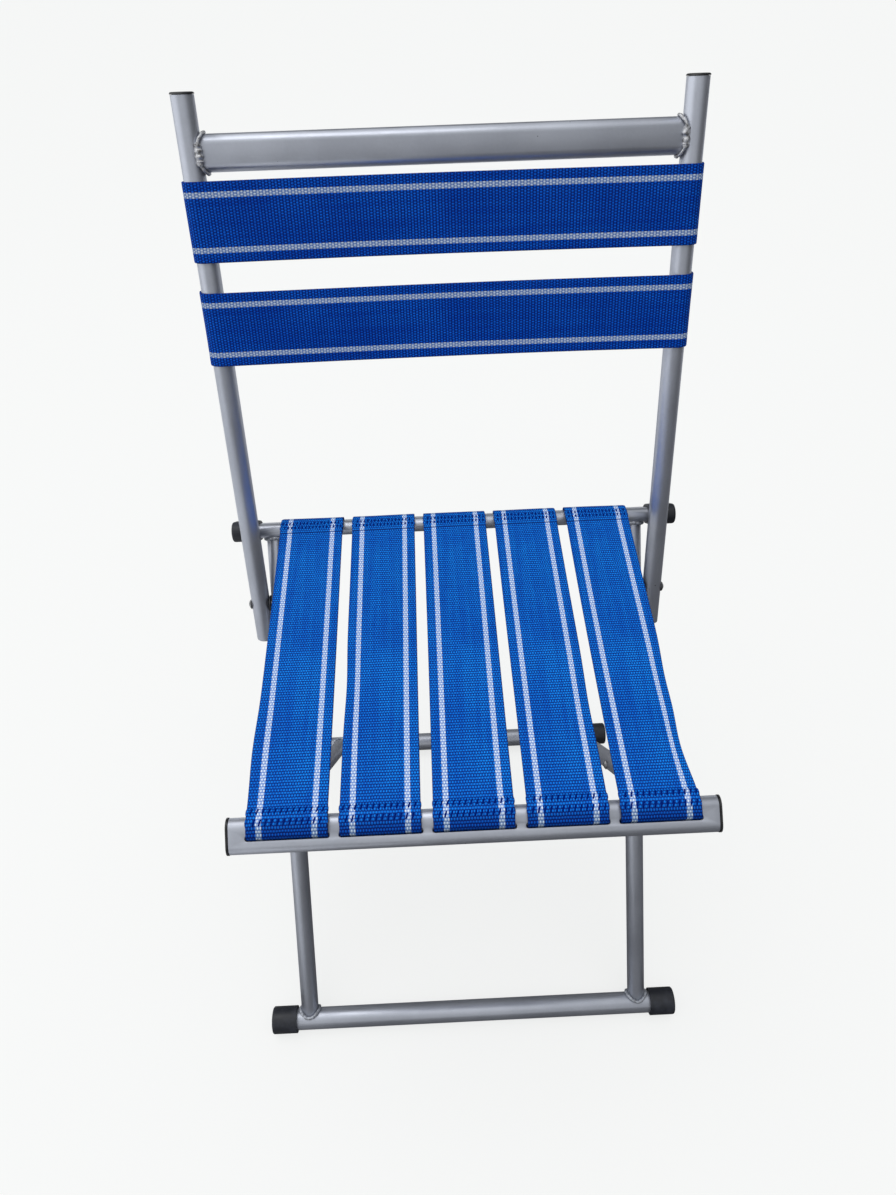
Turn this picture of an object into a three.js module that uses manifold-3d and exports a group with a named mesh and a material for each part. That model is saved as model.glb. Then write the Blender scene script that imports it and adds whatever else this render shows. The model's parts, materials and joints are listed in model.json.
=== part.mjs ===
// Folding lawn chair of steel tube and woven webbing.
// Millimetres. +Z is up, +X is to the right seen from the front, and the chair faces -Y.
import * as THREE from 'three';
import { mergeVertices } from 'three/addons/utils/BufferGeometryUtils.js';
import Module from 'manifold-3d';

const wasm = await Module();
wasm.setup();

// Driving dimensions: the scissor stand, with leg lengths counted from the rivet where the legs cross
const legUpperLength = 257;
const legLowerLength = 270;
const halfOpening = THREE.MathUtils.degToRad(39.3);
const tubeGap = 1.6;

// Driving dimensions: the tubes
const legRadius = 9;
const legWall = 1.2;
const floorBarExtraRadius = 2;
const floorBarWall = 1.5;
const ovalWide = 27;
const ovalThin = 14;
const ovalWall = 1.2;
const slotEndGap = 12.4;
const passingGap = 3.4;
const railEndLength = 8.8;

// Driving dimensions: the back frame, with heights counted along the posts from their rivets
const backLean = THREE.MathUtils.degToRad(19);
const crossbarHeight = 401;
const postTopLength = 40;
const postTailLength = 39;
const crossbarBandGap = 5.5;
const bandGap = 23;

// Driving dimensions: the webbing
const webWidth = 60;
const webThickness = 1.3;
const strapCount = 5;
const strapGap = 8.8;
const seatSag = 2.5;
const bandBow = 4;
const hemLength = 12;
const hemTurn = THREE.MathUtils.degToRad(105);

// Driving dimensions: slots, rods, rivets, rubber and plastic
const slotPlay = 0.6;
const slotShift = 0.8;
const slotSlack = 1;
const slotCorner = 1.5;
const rodRadius = 2;
const rodEnd = 4;
const rivetRadius = 3;
const rivetHeadRadius = 5.2;
const rivetHeadHeight = 2.6;
const washerRadius = 8;
const bootWall = 2.5;
const bootEnd = 2.5;
const bootLength = 26;
const bootRound = 2;
const bootWeldGap = 0.8;
const plugFlange = 1.5;
const plugRim = 0.4;
const plugStem = 8;
const weldRadius = 1.7;
const weldRippleShare = 0.12;

// Clearances
const seatGap = 0.3;
const webGap = 0.4;
const overrun = 1;

// Smoothness
const roundSides = 24;
const pinSides = 16;
const cornerSteps = 3;
const slotSteps = 2;
const bendSteps = 5;
const spanSteps = 6;
const weldSteps = 20;
const weldSides = 5;
const weldRipples = 5;

// Sizes worked out from the driving dimensions
const ovalRound = ovalThin / 2;
const ovalHalfFlat = ovalWide / 2 - ovalRound;
const floorBarRadius = legRadius + floorBarExtraRadius;
const doubleWeb = 2 * webThickness;
const slotHeight = doubleWeb + 2 * webGap + slotPlay;
const strapPitch = webWidth + strapGap;
const outerStrapEdge = ((strapCount - 1) / 2) * strapPitch + webWidth / 2;
const loopRadius = rodRadius + seatGap + webThickness;
const rodHoleRadius = rodRadius + seatGap;
const rodHalf = outerStrapEdge + rodEnd;
const bootRadius = floorBarRadius + seatGap + bootWall;
const bootFlat = bootRadius * Math.cos(Math.PI / roundSides);
const pivotHeight = legLowerLength * Math.cos(halfOpening) + bootFlat;
const seatHalfDepth = legUpperLength * Math.sin(halfOpening);
const railHeight = pivotHeight + legUpperLength * Math.cos(halfOpening);

// Widths, from the straps outwards: the front rail passes between the posts when the chair folds
const frontRailHalf = outerStrapEdge + slotSlack + slotEndGap;
const postX = frontRailHalf + seatGap + plugFlange + passingGap + legRadius;
const outerLegX = postX - 2 * legRadius - tubeGap;
const innerLegX = outerLegX - 2 * legRadius - tubeGap;
const rearRailHalf = postX + legRadius + railEndLength;
const weldReach = 2 * weldRadius * (1 + weldRippleShare) + seatGap;
const barPastLeg = legRadius + weldReach + bootWeldGap + bootLength - bootEnd - seatGap;
const frontFloorBarHalf = outerLegX + barPastLeg;
const rearFloorBarHalf = innerLegX + barPastLeg;

// Heights along a post
const postUpperLength = crossbarHeight + postTopLength;
const upperBandHeight = crossbarHeight - ovalWide / 2 - crossbarBandGap - webWidth / 2;
const lowerBandHeight = upperBandHeight - webWidth - bandGap;

// Place of the back frame's rivet: the post leans on the rubber cap of the rear rail
const postToLeg = halfOpening - backLean;
const capReach = ovalHalfFlat * Math.cos(postToLeg) + ovalRound + seatGap + bootWall;
const backRivetDrop = (legRadius + seatGap + capReach) / Math.sin(postToLeg);
const backRivetHeight = legUpperLength - backRivetDrop;

const steel = { color: 0x9a9da3, roughness: 0.42, metalness: 0.85 };
const brightSteel = { color: 0xb9bcc1, roughness: 0.35, metalness: 0.9 };
const weldSteel = { color: 0xa5a6a8, roughness: 0.6, metalness: 0.8 };
const rubber = { color: 0x24272b, roughness: 0.75, metalness: 0 };
const plastic = { color: 0x17181a, roughness: 0.5, metalness: 0 };
const nylon = { color: 0x2b2b2d, roughness: 0.6, metalness: 0 };
const webbing = { color: 0x0d50b8, roughness: 0.9, metalness: 0 };

function addPart(group, name, geometry, look) {
  const mesh = new THREE.Mesh(geometry, new THREE.MeshStandardMaterial(look));
  mesh.name = name;
  group.add(mesh);
  return mesh;
}

// Solids and cuts

function toSolid(geometry) {
  const bare = geometry.index ? geometry.toNonIndexed() : geometry.clone();
  bare.deleteAttribute('normal');
  bare.deleteAttribute('uv');
  const merged = mergeVertices(bare);
  return new wasm.Manifold(new wasm.Mesh({
    numProp: 3,
    vertProperties: new Float32Array(merged.attributes.position.array),
    triVerts: new Uint32Array(merged.index.array),
  }));
}

function fromSolid(solid) {
  const mesh = solid.getMesh();
  const geometry = new THREE.BufferGeometry();
  geometry.setAttribute('position', new THREE.BufferAttribute(mesh.vertProperties, 3));
  geometry.setIndex(new THREE.BufferAttribute(mesh.triVerts, 1));
  geometry.computeVertexNormals();
  return geometry;
}

function cut(geometry, cutters) {
  let solid = toSolid(geometry);
  for (const cutter of cutters) {
    solid = solid.subtract(toSolid(cutter));
  }
  return fromSolid(solid);
}

// Outlines

function onCircle(centre, radius, angle) {
  return new THREE.Vector2(
    centre.x + radius * Math.cos(angle),
    centre.y + radius * Math.sin(angle),
  );
}

function arc(centre, radius, from, to, steps) {
  const points = [];
  for (let i = 0; i <= steps; i += 1) {
    points.push(onCircle(centre, radius, from + (to - from) * (i / steps)));
  }
  return points;
}

function circle(radius, sides = roundSides) {
  const turn = Math.PI / sides;
  return arc(new THREE.Vector2(), radius, turn, turn + 2 * Math.PI, sides).slice(0, -1);
}

// A flat oval lies with its wide axis along the outline's first axis.
function flatOval(radius) {
  const right = new THREE.Vector2(ovalHalfFlat, 0);
  const left = new THREE.Vector2(-ovalHalfFlat, 0);
  const quarter = Math.PI / 2;
  return [
    ...arc(right, radius, -quarter, quarter, roundSides / 2),
    ...arc(left, radius, quarter, 3 * quarter, roundSides / 2),
  ];
}

function roundedSlot(length, height) {
  const halfLength = length / 2 - slotCorner;
  const halfHeight = height / 2 - slotCorner;
  const quarter = Math.PI / 2;
  const points = [];
  [[1, 1, 0], [-1, 1, 1], [-1, -1, 2], [1, -1, 3]].forEach(([x, y, turns]) => {
    const corner = new THREE.Vector2(x * halfLength, y * halfHeight);
    points.push(...arc(corner, slotCorner, turns * quarter, (turns + 1) * quarter, slotSteps));
  });
  return points;
}

function extrude(outline, depth, holes = []) {
  const shape = new THREE.Shape(outline);
  shape.holes = holes.map((hole) => new THREE.Path(hole));
  const geometry = new THREE.ExtrudeGeometry(shape, { depth, bevelEnabled: false });
  return geometry.translate(0, 0, -depth / 2);
}

// Turns an outline drawn in the side view (Y, Z) so that its depth runs along X.
function layAcross(geometry) {
  return geometry.applyMatrix4(new THREE.Matrix4().makeBasis(
    new THREE.Vector3(0, 1, 0),
    new THREE.Vector3(0, 0, 1),
    new THREE.Vector3(1, 0, 0),
  ));
}

function revolveAcross(profile, sides = roundSides) {
  return new THREE.LatheGeometry(profile, sides).rotateZ(-Math.PI / 2);
}

function crossPin(radius, length, z, sides) {
  return layAcross(extrude(circle(radius, sides), length)).translate(0, 0, z);
}

function rivetHole(z) {
  return crossPin(rivetRadius + seatGap, 4 * legRadius, z, pinSides);
}

// Tubes

function uprightTube(bottom, top) {
  const tube = extrude(circle(legRadius), top - bottom, [circle(legRadius - legWall)]);
  return tube.translate(0, 0, (top + bottom) / 2);
}

function floorBar(half) {
  return layAcross(extrude(circle(floorBarRadius), 2 * half, [circle(floorBarRadius - floorBarWall)]));
}

// A seat rail is a flat-oval tube with one slot for each strap in its upper wide face.
// slotSide is -1 or 1: the slots sit to that side of the face's middle.
function seatRail(half, slotSide) {
  const tube = layAcross(extrude(flatOval(ovalRound), 2 * half, [flatOval(ovalRound - ovalWall)]));
  const cutters = [];
  for (let i = 0; i < strapCount; i += 1) {
    const cutter = extrude(roundedSlot(webWidth + 2 * slotSlack, slotHeight), ovalWall + 2 * overrun);
    cutters.push(cutter.translate(strapX(i), slotSide * slotShift, ovalRound - ovalWall / 2));
  }
  return cut(tube, cutters);
}

function strapX(i) {
  return (i - (strapCount - 1) / 2) * strapPitch;
}

// Rubber, plastic and small metal

// A round boot: a cup whose mouth faces the middle of the chair.
function roundBoot() {
  const bore = floorBarRadius + seatGap;
  const rim = arc(new THREE.Vector2(bootRadius - bootRound, bootLength - bootRound), bootRound,
    0, Math.PI / 2, cornerSteps);
  const profile = [
    new THREE.Vector2(0, bootLength - bootEnd),
    new THREE.Vector2(bore, bootLength - bootEnd),
    new THREE.Vector2(bore, 0),
    new THREE.Vector2(bootRadius, 0),
    ...rim,
    new THREE.Vector2(0, bootLength),
  ];
  return revolveAcross(profile).rotateX(Math.PI / roundSides);
}

// A flat-oval boot with rounded outer edges, for the ends of the rear rail.
function ovalBoot() {
  const outer = ovalRound + seatGap + bootWall;
  const shape = new THREE.Shape(flatOval(outer - bootRound));
  const body = new THREE.ExtrudeGeometry(shape, {
    depth: bootLength - 2 * bootRound,
    bevelThickness: bootRound,
    bevelSize: bootRound,
    bevelSegments: cornerSteps,
  });
  body.translate(0, 0, bootRound);
  const bore = extrude(flatOval(ovalRound + seatGap), bootLength - bootEnd + overrun);
  bore.translate(0, 0, (bootLength - bootEnd - overrun) / 2);
  return layAcross(cut(body, [bore]));
}

// A plug: a thin flange over the tube's end and a stem that sits inside it.
function roundPlug() {
  const flange = legRadius + plugRim;
  const stem = legRadius - legWall - seatGap;
  const edgeCentre = new THREE.Vector2(flange - plugFlange, seatGap);
  const edge = arc(edgeCentre, plugFlange, 0, Math.PI / 2, cornerSteps);
  return new THREE.LatheGeometry([
    new THREE.Vector2(0, -plugStem),
    new THREE.Vector2(stem, -plugStem),
    new THREE.Vector2(stem, seatGap),
    ...edge,
    new THREE.Vector2(0, seatGap + plugFlange),
  ], roundSides).rotateX(Math.PI / 2);
}

function ovalPlug() {
  const flange = extrude(flatOval(ovalRound + plugRim), plugFlange);
  flange.translate(0, 0, seatGap + plugFlange / 2);
  const stem = extrude(flatOval(ovalRound - ovalWall - seatGap), plugStem + seatGap + plugFlange / 2);
  stem.translate(0, 0, (seatGap + plugFlange / 2 - plugStem) / 2);
  return layAcross(fromSolid(toSolid(flange).add(toSolid(stem))));
}

// A rivet along X whose two domed heads close on a stack from x = inner to x = outer.
function rivet(inner, outer) {
  const half = (outer - inner) / 2 + seatGap;
  const domeAngle = 2 * Math.atan(rivetHeadHeight / rivetHeadRadius);
  const domeRadius = rivetHeadRadius / Math.sin(domeAngle);
  const drop = half + rivetHeadHeight - domeRadius;
  const from = Math.PI / 2 - domeAngle;
  const dome = arc(new THREE.Vector2(0, drop), domeRadius, from, Math.PI / 2, cornerSteps);
  const upper = [new THREE.Vector2(rivetRadius, half), ...dome];
  upper[upper.length - 1].x = 0;
  const lower = upper.map((p) => new THREE.Vector2(p.x, -p.y)).reverse();
  return revolveAcross([...lower, ...upper], pinSides).translate((inner + outer) / 2, 0, 0);
}

function washer() {
  const hole = circle(rivetRadius + seatGap, pinSides);
  return layAcross(extrude(circle(washerRadius, pinSides), tubeGap - 2 * seatGap, [hole]));
}

// A weld bead: a rippled closed tube that lies in the corner between two surfaces.
// cornerAt(t) gives the corner's point and the normals of both surfaces there.
function weldBead(cornerAt) {
  const centres = [];
  const offset = weldRadius * (1 + weldRippleShare) + seatGap;
  for (let i = 0; i < weldSteps; i += 1) {
    const { point, normalA, normalB } = cornerAt((i / weldSteps) * 2 * Math.PI);
    const away = normalA.clone().add(normalB).multiplyScalar(offset / (1 + normalA.dot(normalB)));
    centres.push(point.clone().add(away));
  }
  const positions = [];
  const indices = [];
  const middle = centres.reduce((sum, p) => sum.add(p), new THREE.Vector3()).divideScalar(weldSteps);
  for (let i = 0; i < weldSteps; i += 1) {
    const before = centres[(i + weldSteps - 1) % weldSteps];
    const after = centres[(i + 1) % weldSteps];
    const along = after.clone().sub(before).normalize();
    const side = centres[i].clone().sub(middle);
    side.addScaledVector(along, -side.dot(along)).normalize();
    const other = along.clone().cross(side);
    const ripple = 1 + weldRippleShare * Math.cos((weldRipples * i * 2 * Math.PI) / weldSteps);
    for (let j = 0; j < weldSides; j += 1) {
      const angle = (j / weldSides) * 2 * Math.PI;
      const vertex = centres[i].clone()
        .addScaledVector(side, weldRadius * ripple * Math.cos(angle))
        .addScaledVector(other, weldRadius * ripple * Math.sin(angle));
      positions.push(vertex.x, vertex.y, vertex.z);
      const next = (i + 1) % weldSteps;
      const k = (j + 1) % weldSides;
      const [a, b] = [i * weldSides + j, i * weldSides + k];
      const [c, d] = [next * weldSides + j, next * weldSides + k];
      indices.push(a, d, c, a, b, d);
    }
  }
  const bead = new THREE.BufferGeometry();
  bead.setAttribute('position', new THREE.Float32BufferAttribute(positions, 3));
  bead.setIndex(indices);
  bead.computeVertexNormals();
  return bead;
}

// The corner between an upright leg and the round floor bar under it.
function legOnFloorBar(t) {
  const normalA = new THREE.Vector3(Math.cos(t), Math.sin(t), 0);
  const y = legRadius * normalA.y;
  const z = Math.sqrt(floorBarRadius ** 2 - y ** 2);
  return {
    point: new THREE.Vector3(legRadius * normalA.x, y, z),
    normalA,
    normalB: new THREE.Vector3(0, y / floorBarRadius, z / floorBarRadius),
  };
}

// The corner between an upright leg and the wide face of the flat-oval rail above it.
function legUnderRail(t) {
  const normalA = new THREE.Vector3(Math.cos(t), Math.sin(t), 0);
  const y = legRadius * normalA.y;
  const past = Math.sign(y) * Math.max(Math.abs(y) - ovalHalfFlat, 0);
  const z = -Math.sqrt(ovalRound ** 2 - past ** 2);
  return {
    point: new THREE.Vector3(legRadius * normalA.x, y, z),
    normalA,
    normalB: new THREE.Vector3(0, past / ovalRound, z / ovalRound),
  };
}

// The corner between the crossbar and the post at its end, with the post's axis at x = 0.
function crossbarOnPost(t) {
  const round = new THREE.Vector2(Math.cos(t), Math.sin(t));
  const z = Math.sign(round.y) * ovalHalfFlat + ovalRound * round.y;
  const y = ovalRound * round.x;
  const x = Math.sqrt(legRadius ** 2 - y ** 2);
  return {
    point: new THREE.Vector3(-x, y, z),
    normalA: new THREE.Vector3(0, round.x, round.y),
    normalB: new THREE.Vector3(-x / legRadius, y / legRadius, 0),
  };
}

// Webbing

// The sewn end of a length of webbing: it turns round a slot's edge, dives into the tube and
// loops round a rod. turn is 1 or -1 for the way the outline goes round.
function sewnLoop(corner, from, to, turn, rod) {
  const back = to - turn * Math.PI / 2;
  const mouth = Math.asin(webThickness / loopRadius);
  return [
    ...arc(corner, webGap, from, to, cornerSteps),
    ...arc(rod, loopRadius, back - turn * mouth, back - turn * (2 * Math.PI - mouth), 2 * bendSteps),
    ...arc(corner, webGap + doubleWeb, to, from, cornerSteps),
  ];
}

// Places in a rail's own section: the slot's edge that the strap bends over, and the rod.
const slotEdge = slotHeight / 2 - slotShift;
const rodAside = slotEdge - webGap - webThickness;
const rodUp = ovalRound - ovalWall - seatGap - loopRadius;

function frontRailPoint(across, up) {
  const turned = new THREE.Vector2(across, up).rotateAround(new THREE.Vector2(), halfOpening);
  return turned.add(new THREE.Vector2(-seatHalfDepth, railHeight));
}

// Half of a seat strap's outline in the side view, from the middle of its underside, over the
// front rail, into the slot and back along its top to the middle.
function strapHalfOutline() {
  const end = frontRailPoint(ovalHalfFlat, 0);
  const faceAngle = Math.PI / 2 + halfOpening;
  const dip = Math.atan((2 * seatSag) / seatHalfDepth);
  const leave = Math.PI / 2 - dip;
  const inner = ovalRound + webGap;
  const outer = inner + doubleWeb;
  const topEnd = onCircle(end, outer, leave);
  const topAt = (y) => topEnd.y - seatSag * (1 - (y / topEnd.x) ** 2);
  const hemEnd = topEnd.x + hemLength;
  const top = [];
  const under = [];
  for (let i = 1; i <= spanSteps; i += 1) {
    const topY = topEnd.x * (1 - i / spanSteps);
    top.push(new THREE.Vector2(topY, topAt(topY)));
    const underY = hemEnd * (i / spanSteps);
    under.push(new THREE.Vector2(underY, topAt(underY) - webThickness));
  }
  under.push(new THREE.Vector2(hemEnd, topAt(hemEnd) - doubleWeb));
  const corner = frontRailPoint(slotEdge, ovalRound);
  const rod = frontRailPoint(rodAside, rodUp);
  const outline = [
    ...under,
    ...arc(end, inner, leave, faceAngle, bendSteps),
    ...sewnLoop(corner, faceAngle, faceAngle + Math.PI / 2, 1, rod),
    ...arc(end, outer, faceAngle, leave, bendSteps),
    ...top,
  ];
  return { outline, rod };
}

function seatStrap() {
  const { outline, rod } = strapHalfOutline();
  const mirrored = outline.map((p) => new THREE.Vector2(-p.x, p.y)).reverse();
  const whole = [...outline, ...mirrored.slice(1)];
  const holes = [rod, new THREE.Vector2(-rod.x, rod.y)].map(rodHole);
  return layAcross(extrude(whole, webWidth, holes));
}

function rodHole(centre) {
  return arc(centre, rodHoleRadius, 0, 2 * Math.PI, 2 * bendSteps).slice(0, -1);
}

// Places in a post's own section, measured from the post's axis with +Y to the back.
const postSlotEdge = new THREE.Vector2(
  slotHeight / 2,
  Math.sqrt(legRadius ** 2 - (slotHeight / 2) ** 2),
);
const postRod = new THREE.Vector2(
  postSlotEdge.x - webGap - webThickness,
  Math.sqrt((legRadius - legWall - seatGap - loopRadius) ** 2
    - (postSlotEdge.x - webGap - webThickness) ** 2),
);

// Half of a back band's outline seen along the post, from the middle of its back face to the
// right, round the post, into the slot behind it and back along its front.
function bandHalfOutline() {
  const post = new THREE.Vector2(postX, 0);
  const edgeTurn = Math.atan2(postSlotEdge.y, postSlotEdge.x);
  const dip = Math.atan((2 * bandBow) / postX);
  const leave = -Math.PI / 2 - dip;
  const hem = -Math.PI / 2 + hemTurn;
  const inner = legRadius + webGap;
  const single = inner + webThickness;
  const outer = inner + doubleWeb;
  const span = (radius) => {
    const end = onCircle(post, radius, leave);
    const points = [];
    for (let i = 0; i < spanSteps; i += 1) {
      const x = end.x * (i / spanSteps);
      points.push(new THREE.Vector2(x, end.y + bandBow * (1 - (x / end.x) ** 2)));
    }
    return points;
  };
  const outline = [
    ...span(inner),
    ...arc(post, inner, leave, edgeTurn, 2 * bendSteps),
    ...sewnLoop(postSlotEdge.clone().add(post), edgeTurn, Math.PI, 1, postRod.clone().add(post)),
    ...arc(post, outer, edgeTurn, hem, bendSteps),
    ...arc(post, single, hem, leave, bendSteps),
    ...span(single).reverse(),
  ];
  return { outline, rod: postRod.clone().add(post) };
}

function backBand() {
  const { outline, rod } = bandHalfOutline();
  const mirrored = outline.map((p) => new THREE.Vector2(-p.x, p.y)).reverse();
  const whole = [...outline, ...mirrored.slice(1, -1)];
  const holes = [rod, new THREE.Vector2(-rod.x, rod.y)].map(rodHole);
  return extrude(whole, webWidth, holes);
}

// Sub-assemblies

// One half of the scissor stand in its own frame: the rivets are at the middle, the legs run
// along Z, the seat rail is at the top and the floor bar at the bottom.
function standFrame(frame) {
  const group = new THREE.Group();
  const railBottom = legUpperLength - ovalRound - seatGap;
  const barCutter = crossPin(floorBarRadius + seatGap, 4 * legRadius, -legLowerLength, roundSides);
  [[-1, 'left'], [1, 'right']].forEach(([side, hand]) => {
    const cutters = [barCutter, ...frame.rivetHeights.map(rivetHole)];
    const leg = cut(uprightTube(-legLowerLength, railBottom), cutters);
    addPart(group, `${frame.legName}_${hand}`, leg, steel).position.x = side * frame.legX;

    const foot = addPart(group, `${frame.footName}_${hand}`, roundBoot(), rubber);
    foot.position.set(side * (frame.barHalf + seatGap + bootEnd - bootLength), 0, -legLowerLength);
    foot.rotation.set(frame.tilt, 0, side < 0 ? Math.PI : 0);

    const lowBead = weldBead(legOnFloorBar);
    const lowWeld = addPart(group, `${frame.legName}_floor_weld_${hand}`, lowBead, weldSteel);
    lowWeld.position.set(side * frame.legX, 0, -legLowerLength);
    const highBead = weldBead(legUnderRail);
    const highWeld = addPart(group, `${frame.legName}_rail_weld_${hand}`, highBead, weldSteel);
    highWeld.position.set(side * frame.legX, 0, legUpperLength);
  });
  const bar = addPart(group, frame.barName, floorBar(frame.barHalf), steel);
  bar.position.z = -legLowerLength;
  const rail = addPart(group, frame.railName, seatRail(frame.railHalf, frame.slotSide), steel);
  rail.position.z = legUpperLength;
  const rod = addPart(group, frame.rodName, crossPin(rodRadius, 2 * rodHalf, 0, pinSides), brightSteel);
  rod.position.set(0, -frame.slotSide * rodAside, legUpperLength + rodUp);
  return group;
}

function outerFrame() {
  const group = standFrame({
    legName: 'outer_leg',
    footName: 'front_foot',
    barName: 'front_floor_bar',
    railName: 'rear_seat_rail',
    rodName: 'rear_strap_rod',
    legX: outerLegX,
    barHalf: frontFloorBarHalf,
    railHalf: rearRailHalf,
    slotSide: 1,
    tilt: halfOpening,
    rivetHeights: [0, backRivetHeight],
  });
  group.rotation.x = -halfOpening;
  [[-1, 'left'], [1, 'right']].forEach(([side, hand]) => {
    const cap = addPart(group, `rear_rail_cap_${hand}`, ovalBoot(), rubber);
    cap.position.set(side * (rearRailHalf + seatGap + bootEnd - bootLength), 0, legUpperLength);
    cap.rotation.z = side < 0 ? Math.PI : 0;

    const pin = rivet(innerLegX - legRadius, outerLegX + legRadius);
    addPart(group, `scissor_rivet_${hand}`, pin, brightSteel).rotation.z = side < 0 ? Math.PI : 0;
    const ring = addPart(group, `scissor_washer_${hand}`, washer(), nylon);
    ring.position.x = side * (innerLegX + outerLegX) / 2;
  });
  return group;
}

function innerFrame() {
  const group = standFrame({
    legName: 'inner_leg',
    footName: 'rear_foot',
    barName: 'rear_floor_bar',
    railName: 'front_seat_rail',
    rodName: 'front_strap_rod',
    legX: innerLegX,
    barHalf: rearFloorBarHalf,
    railHalf: frontRailHalf,
    slotSide: -1,
    tilt: -halfOpening,
    rivetHeights: [0],
  });
  group.rotation.x = halfOpening;
  [[-1, 'left'], [1, 'right']].forEach(([side, hand]) => {
    const plug = addPart(group, `front_rail_plug_${hand}`, ovalPlug(), plastic);
    plug.position.set(side * frontRailHalf, 0, legUpperLength);
    plug.rotation.z = side < 0 ? Math.PI : 0;
  });
  return group;
}

function backPost(side) {
  const slots = [lowerBandHeight, upperBandHeight].map((z) => {
    const slot = extrude(roundedSlot(webWidth + 2 * slotSlack, slotHeight), legWall + 2 * overrun);
    slot.applyMatrix4(new THREE.Matrix4().makeBasis(
      new THREE.Vector3(0, 0, 1),
      new THREE.Vector3(1, 0, 0),
      new THREE.Vector3(0, 1, 0),
    ));
    return slot.translate(0, legRadius - legWall / 2, z);
  });
  const post = cut(uprightTube(-postTailLength, postUpperLength), [...slots, rivetHole(0)]);
  return post.translate(side * postX, 0, 0);
}

function crossbar() {
  const bar = layAcross(extrude(flatOval(ovalRound), 2 * postX, [flatOval(ovalRound - ovalWall)]));
  bar.rotateX(Math.PI / 2);
  const cutters = [-1, 1].map((side) => {
    const cutter = extrude(circle(legRadius + seatGap), 2 * ovalWide);
    return cutter.translate(side * postX, 0, 0);
  });
  return cut(bar, cutters);
}

function backrest() {
  const group = new THREE.Group();
  const bandRodHalf = (upperBandHeight - lowerBandHeight + webWidth) / 2 + rodEnd;
  [[-1, 'left'], [1, 'right']].forEach(([side, hand]) => {
    addPart(group, `backrest_post_${hand}`, backPost(side), steel);
    addPart(group, `post_plug_${hand}`, roundPlug(), plastic).position.set(side * postX, 0, postUpperLength);

    const weld = addPart(group, `crossbar_weld_${hand}`, weldBead(crossbarOnPost), weldSteel);
    weld.position.set(side * postX, 0, crossbarHeight);
    weld.rotation.z = side < 0 ? Math.PI : 0;

    const rodShape = extrude(circle(rodRadius, pinSides), 2 * bandRodHalf);
    const rod = addPart(group, `band_rod_${hand}`, rodShape, brightSteel);
    rod.position.set(side * (postX + postRod.x), postRod.y, (lowerBandHeight + upperBandHeight) / 2);

    const pin = rivet(outerLegX - legRadius, postX + legRadius);
    addPart(group, `backrest_rivet_${hand}`, pin, brightSteel).rotation.z = side < 0 ? Math.PI : 0;
    addPart(group, `backrest_washer_${hand}`, washer(), nylon).position.x = side * (outerLegX + postX) / 2;
  });
  addPart(group, 'top_crossbar', crossbar(), steel).position.z = crossbarHeight;
  addPart(group, 'lower_back_band', backBand(), webbing).position.z = lowerBandHeight;
  addPart(group, 'upper_back_band', backBand(), webbing).position.z = upperBandHeight;
  group.position.set(0, backRivetHeight * Math.sin(halfOpening), backRivetHeight * Math.cos(halfOpening));
  group.rotation.x = -backLean;
  return group;
}

// The whole chair stands on z = 0, with the middle of its depth at y = 0.
const chair = new THREE.Group();
const atPivot = new THREE.Group();
atPivot.position.z = pivotHeight;
atPivot.add(outerFrame(), innerFrame(), backrest());
chair.add(atPivot);
for (let i = 0; i < strapCount; i += 1) {
  addPart(chair, `seat_strap_${i + 1}`, seatStrap(), webbing).position.x = strapX(i);
}
const frontReach = legLowerLength * Math.sin(halfOpening) + bootFlat;
const backReach = backRivetHeight * Math.sin(halfOpening)
  + (postUpperLength + seatGap + plugFlange) * Math.sin(backLean) + legRadius * Math.cos(backLean);
chair.position.y = (frontReach - backReach) / 2;

export default chair;
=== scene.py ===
# %% [markdown]
# # A folding lawn chair of painted tube and woven webbing
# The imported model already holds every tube, rail, boot and rivet at its real size, and the hinges
# between them. This lesson dresses it. The hard pieces keep their shape and get a painted, rubber
# or plastic finish. What is woven, sewn or welded gets a new mesh, because a plain solid can't show
# cloth, thread or a bead. The floor, the light and the camera come last. All lengths are in metres.

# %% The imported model
import json
import math

import bpy
import numpy as np
from mathutils import Matrix, Vector, noise


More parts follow.
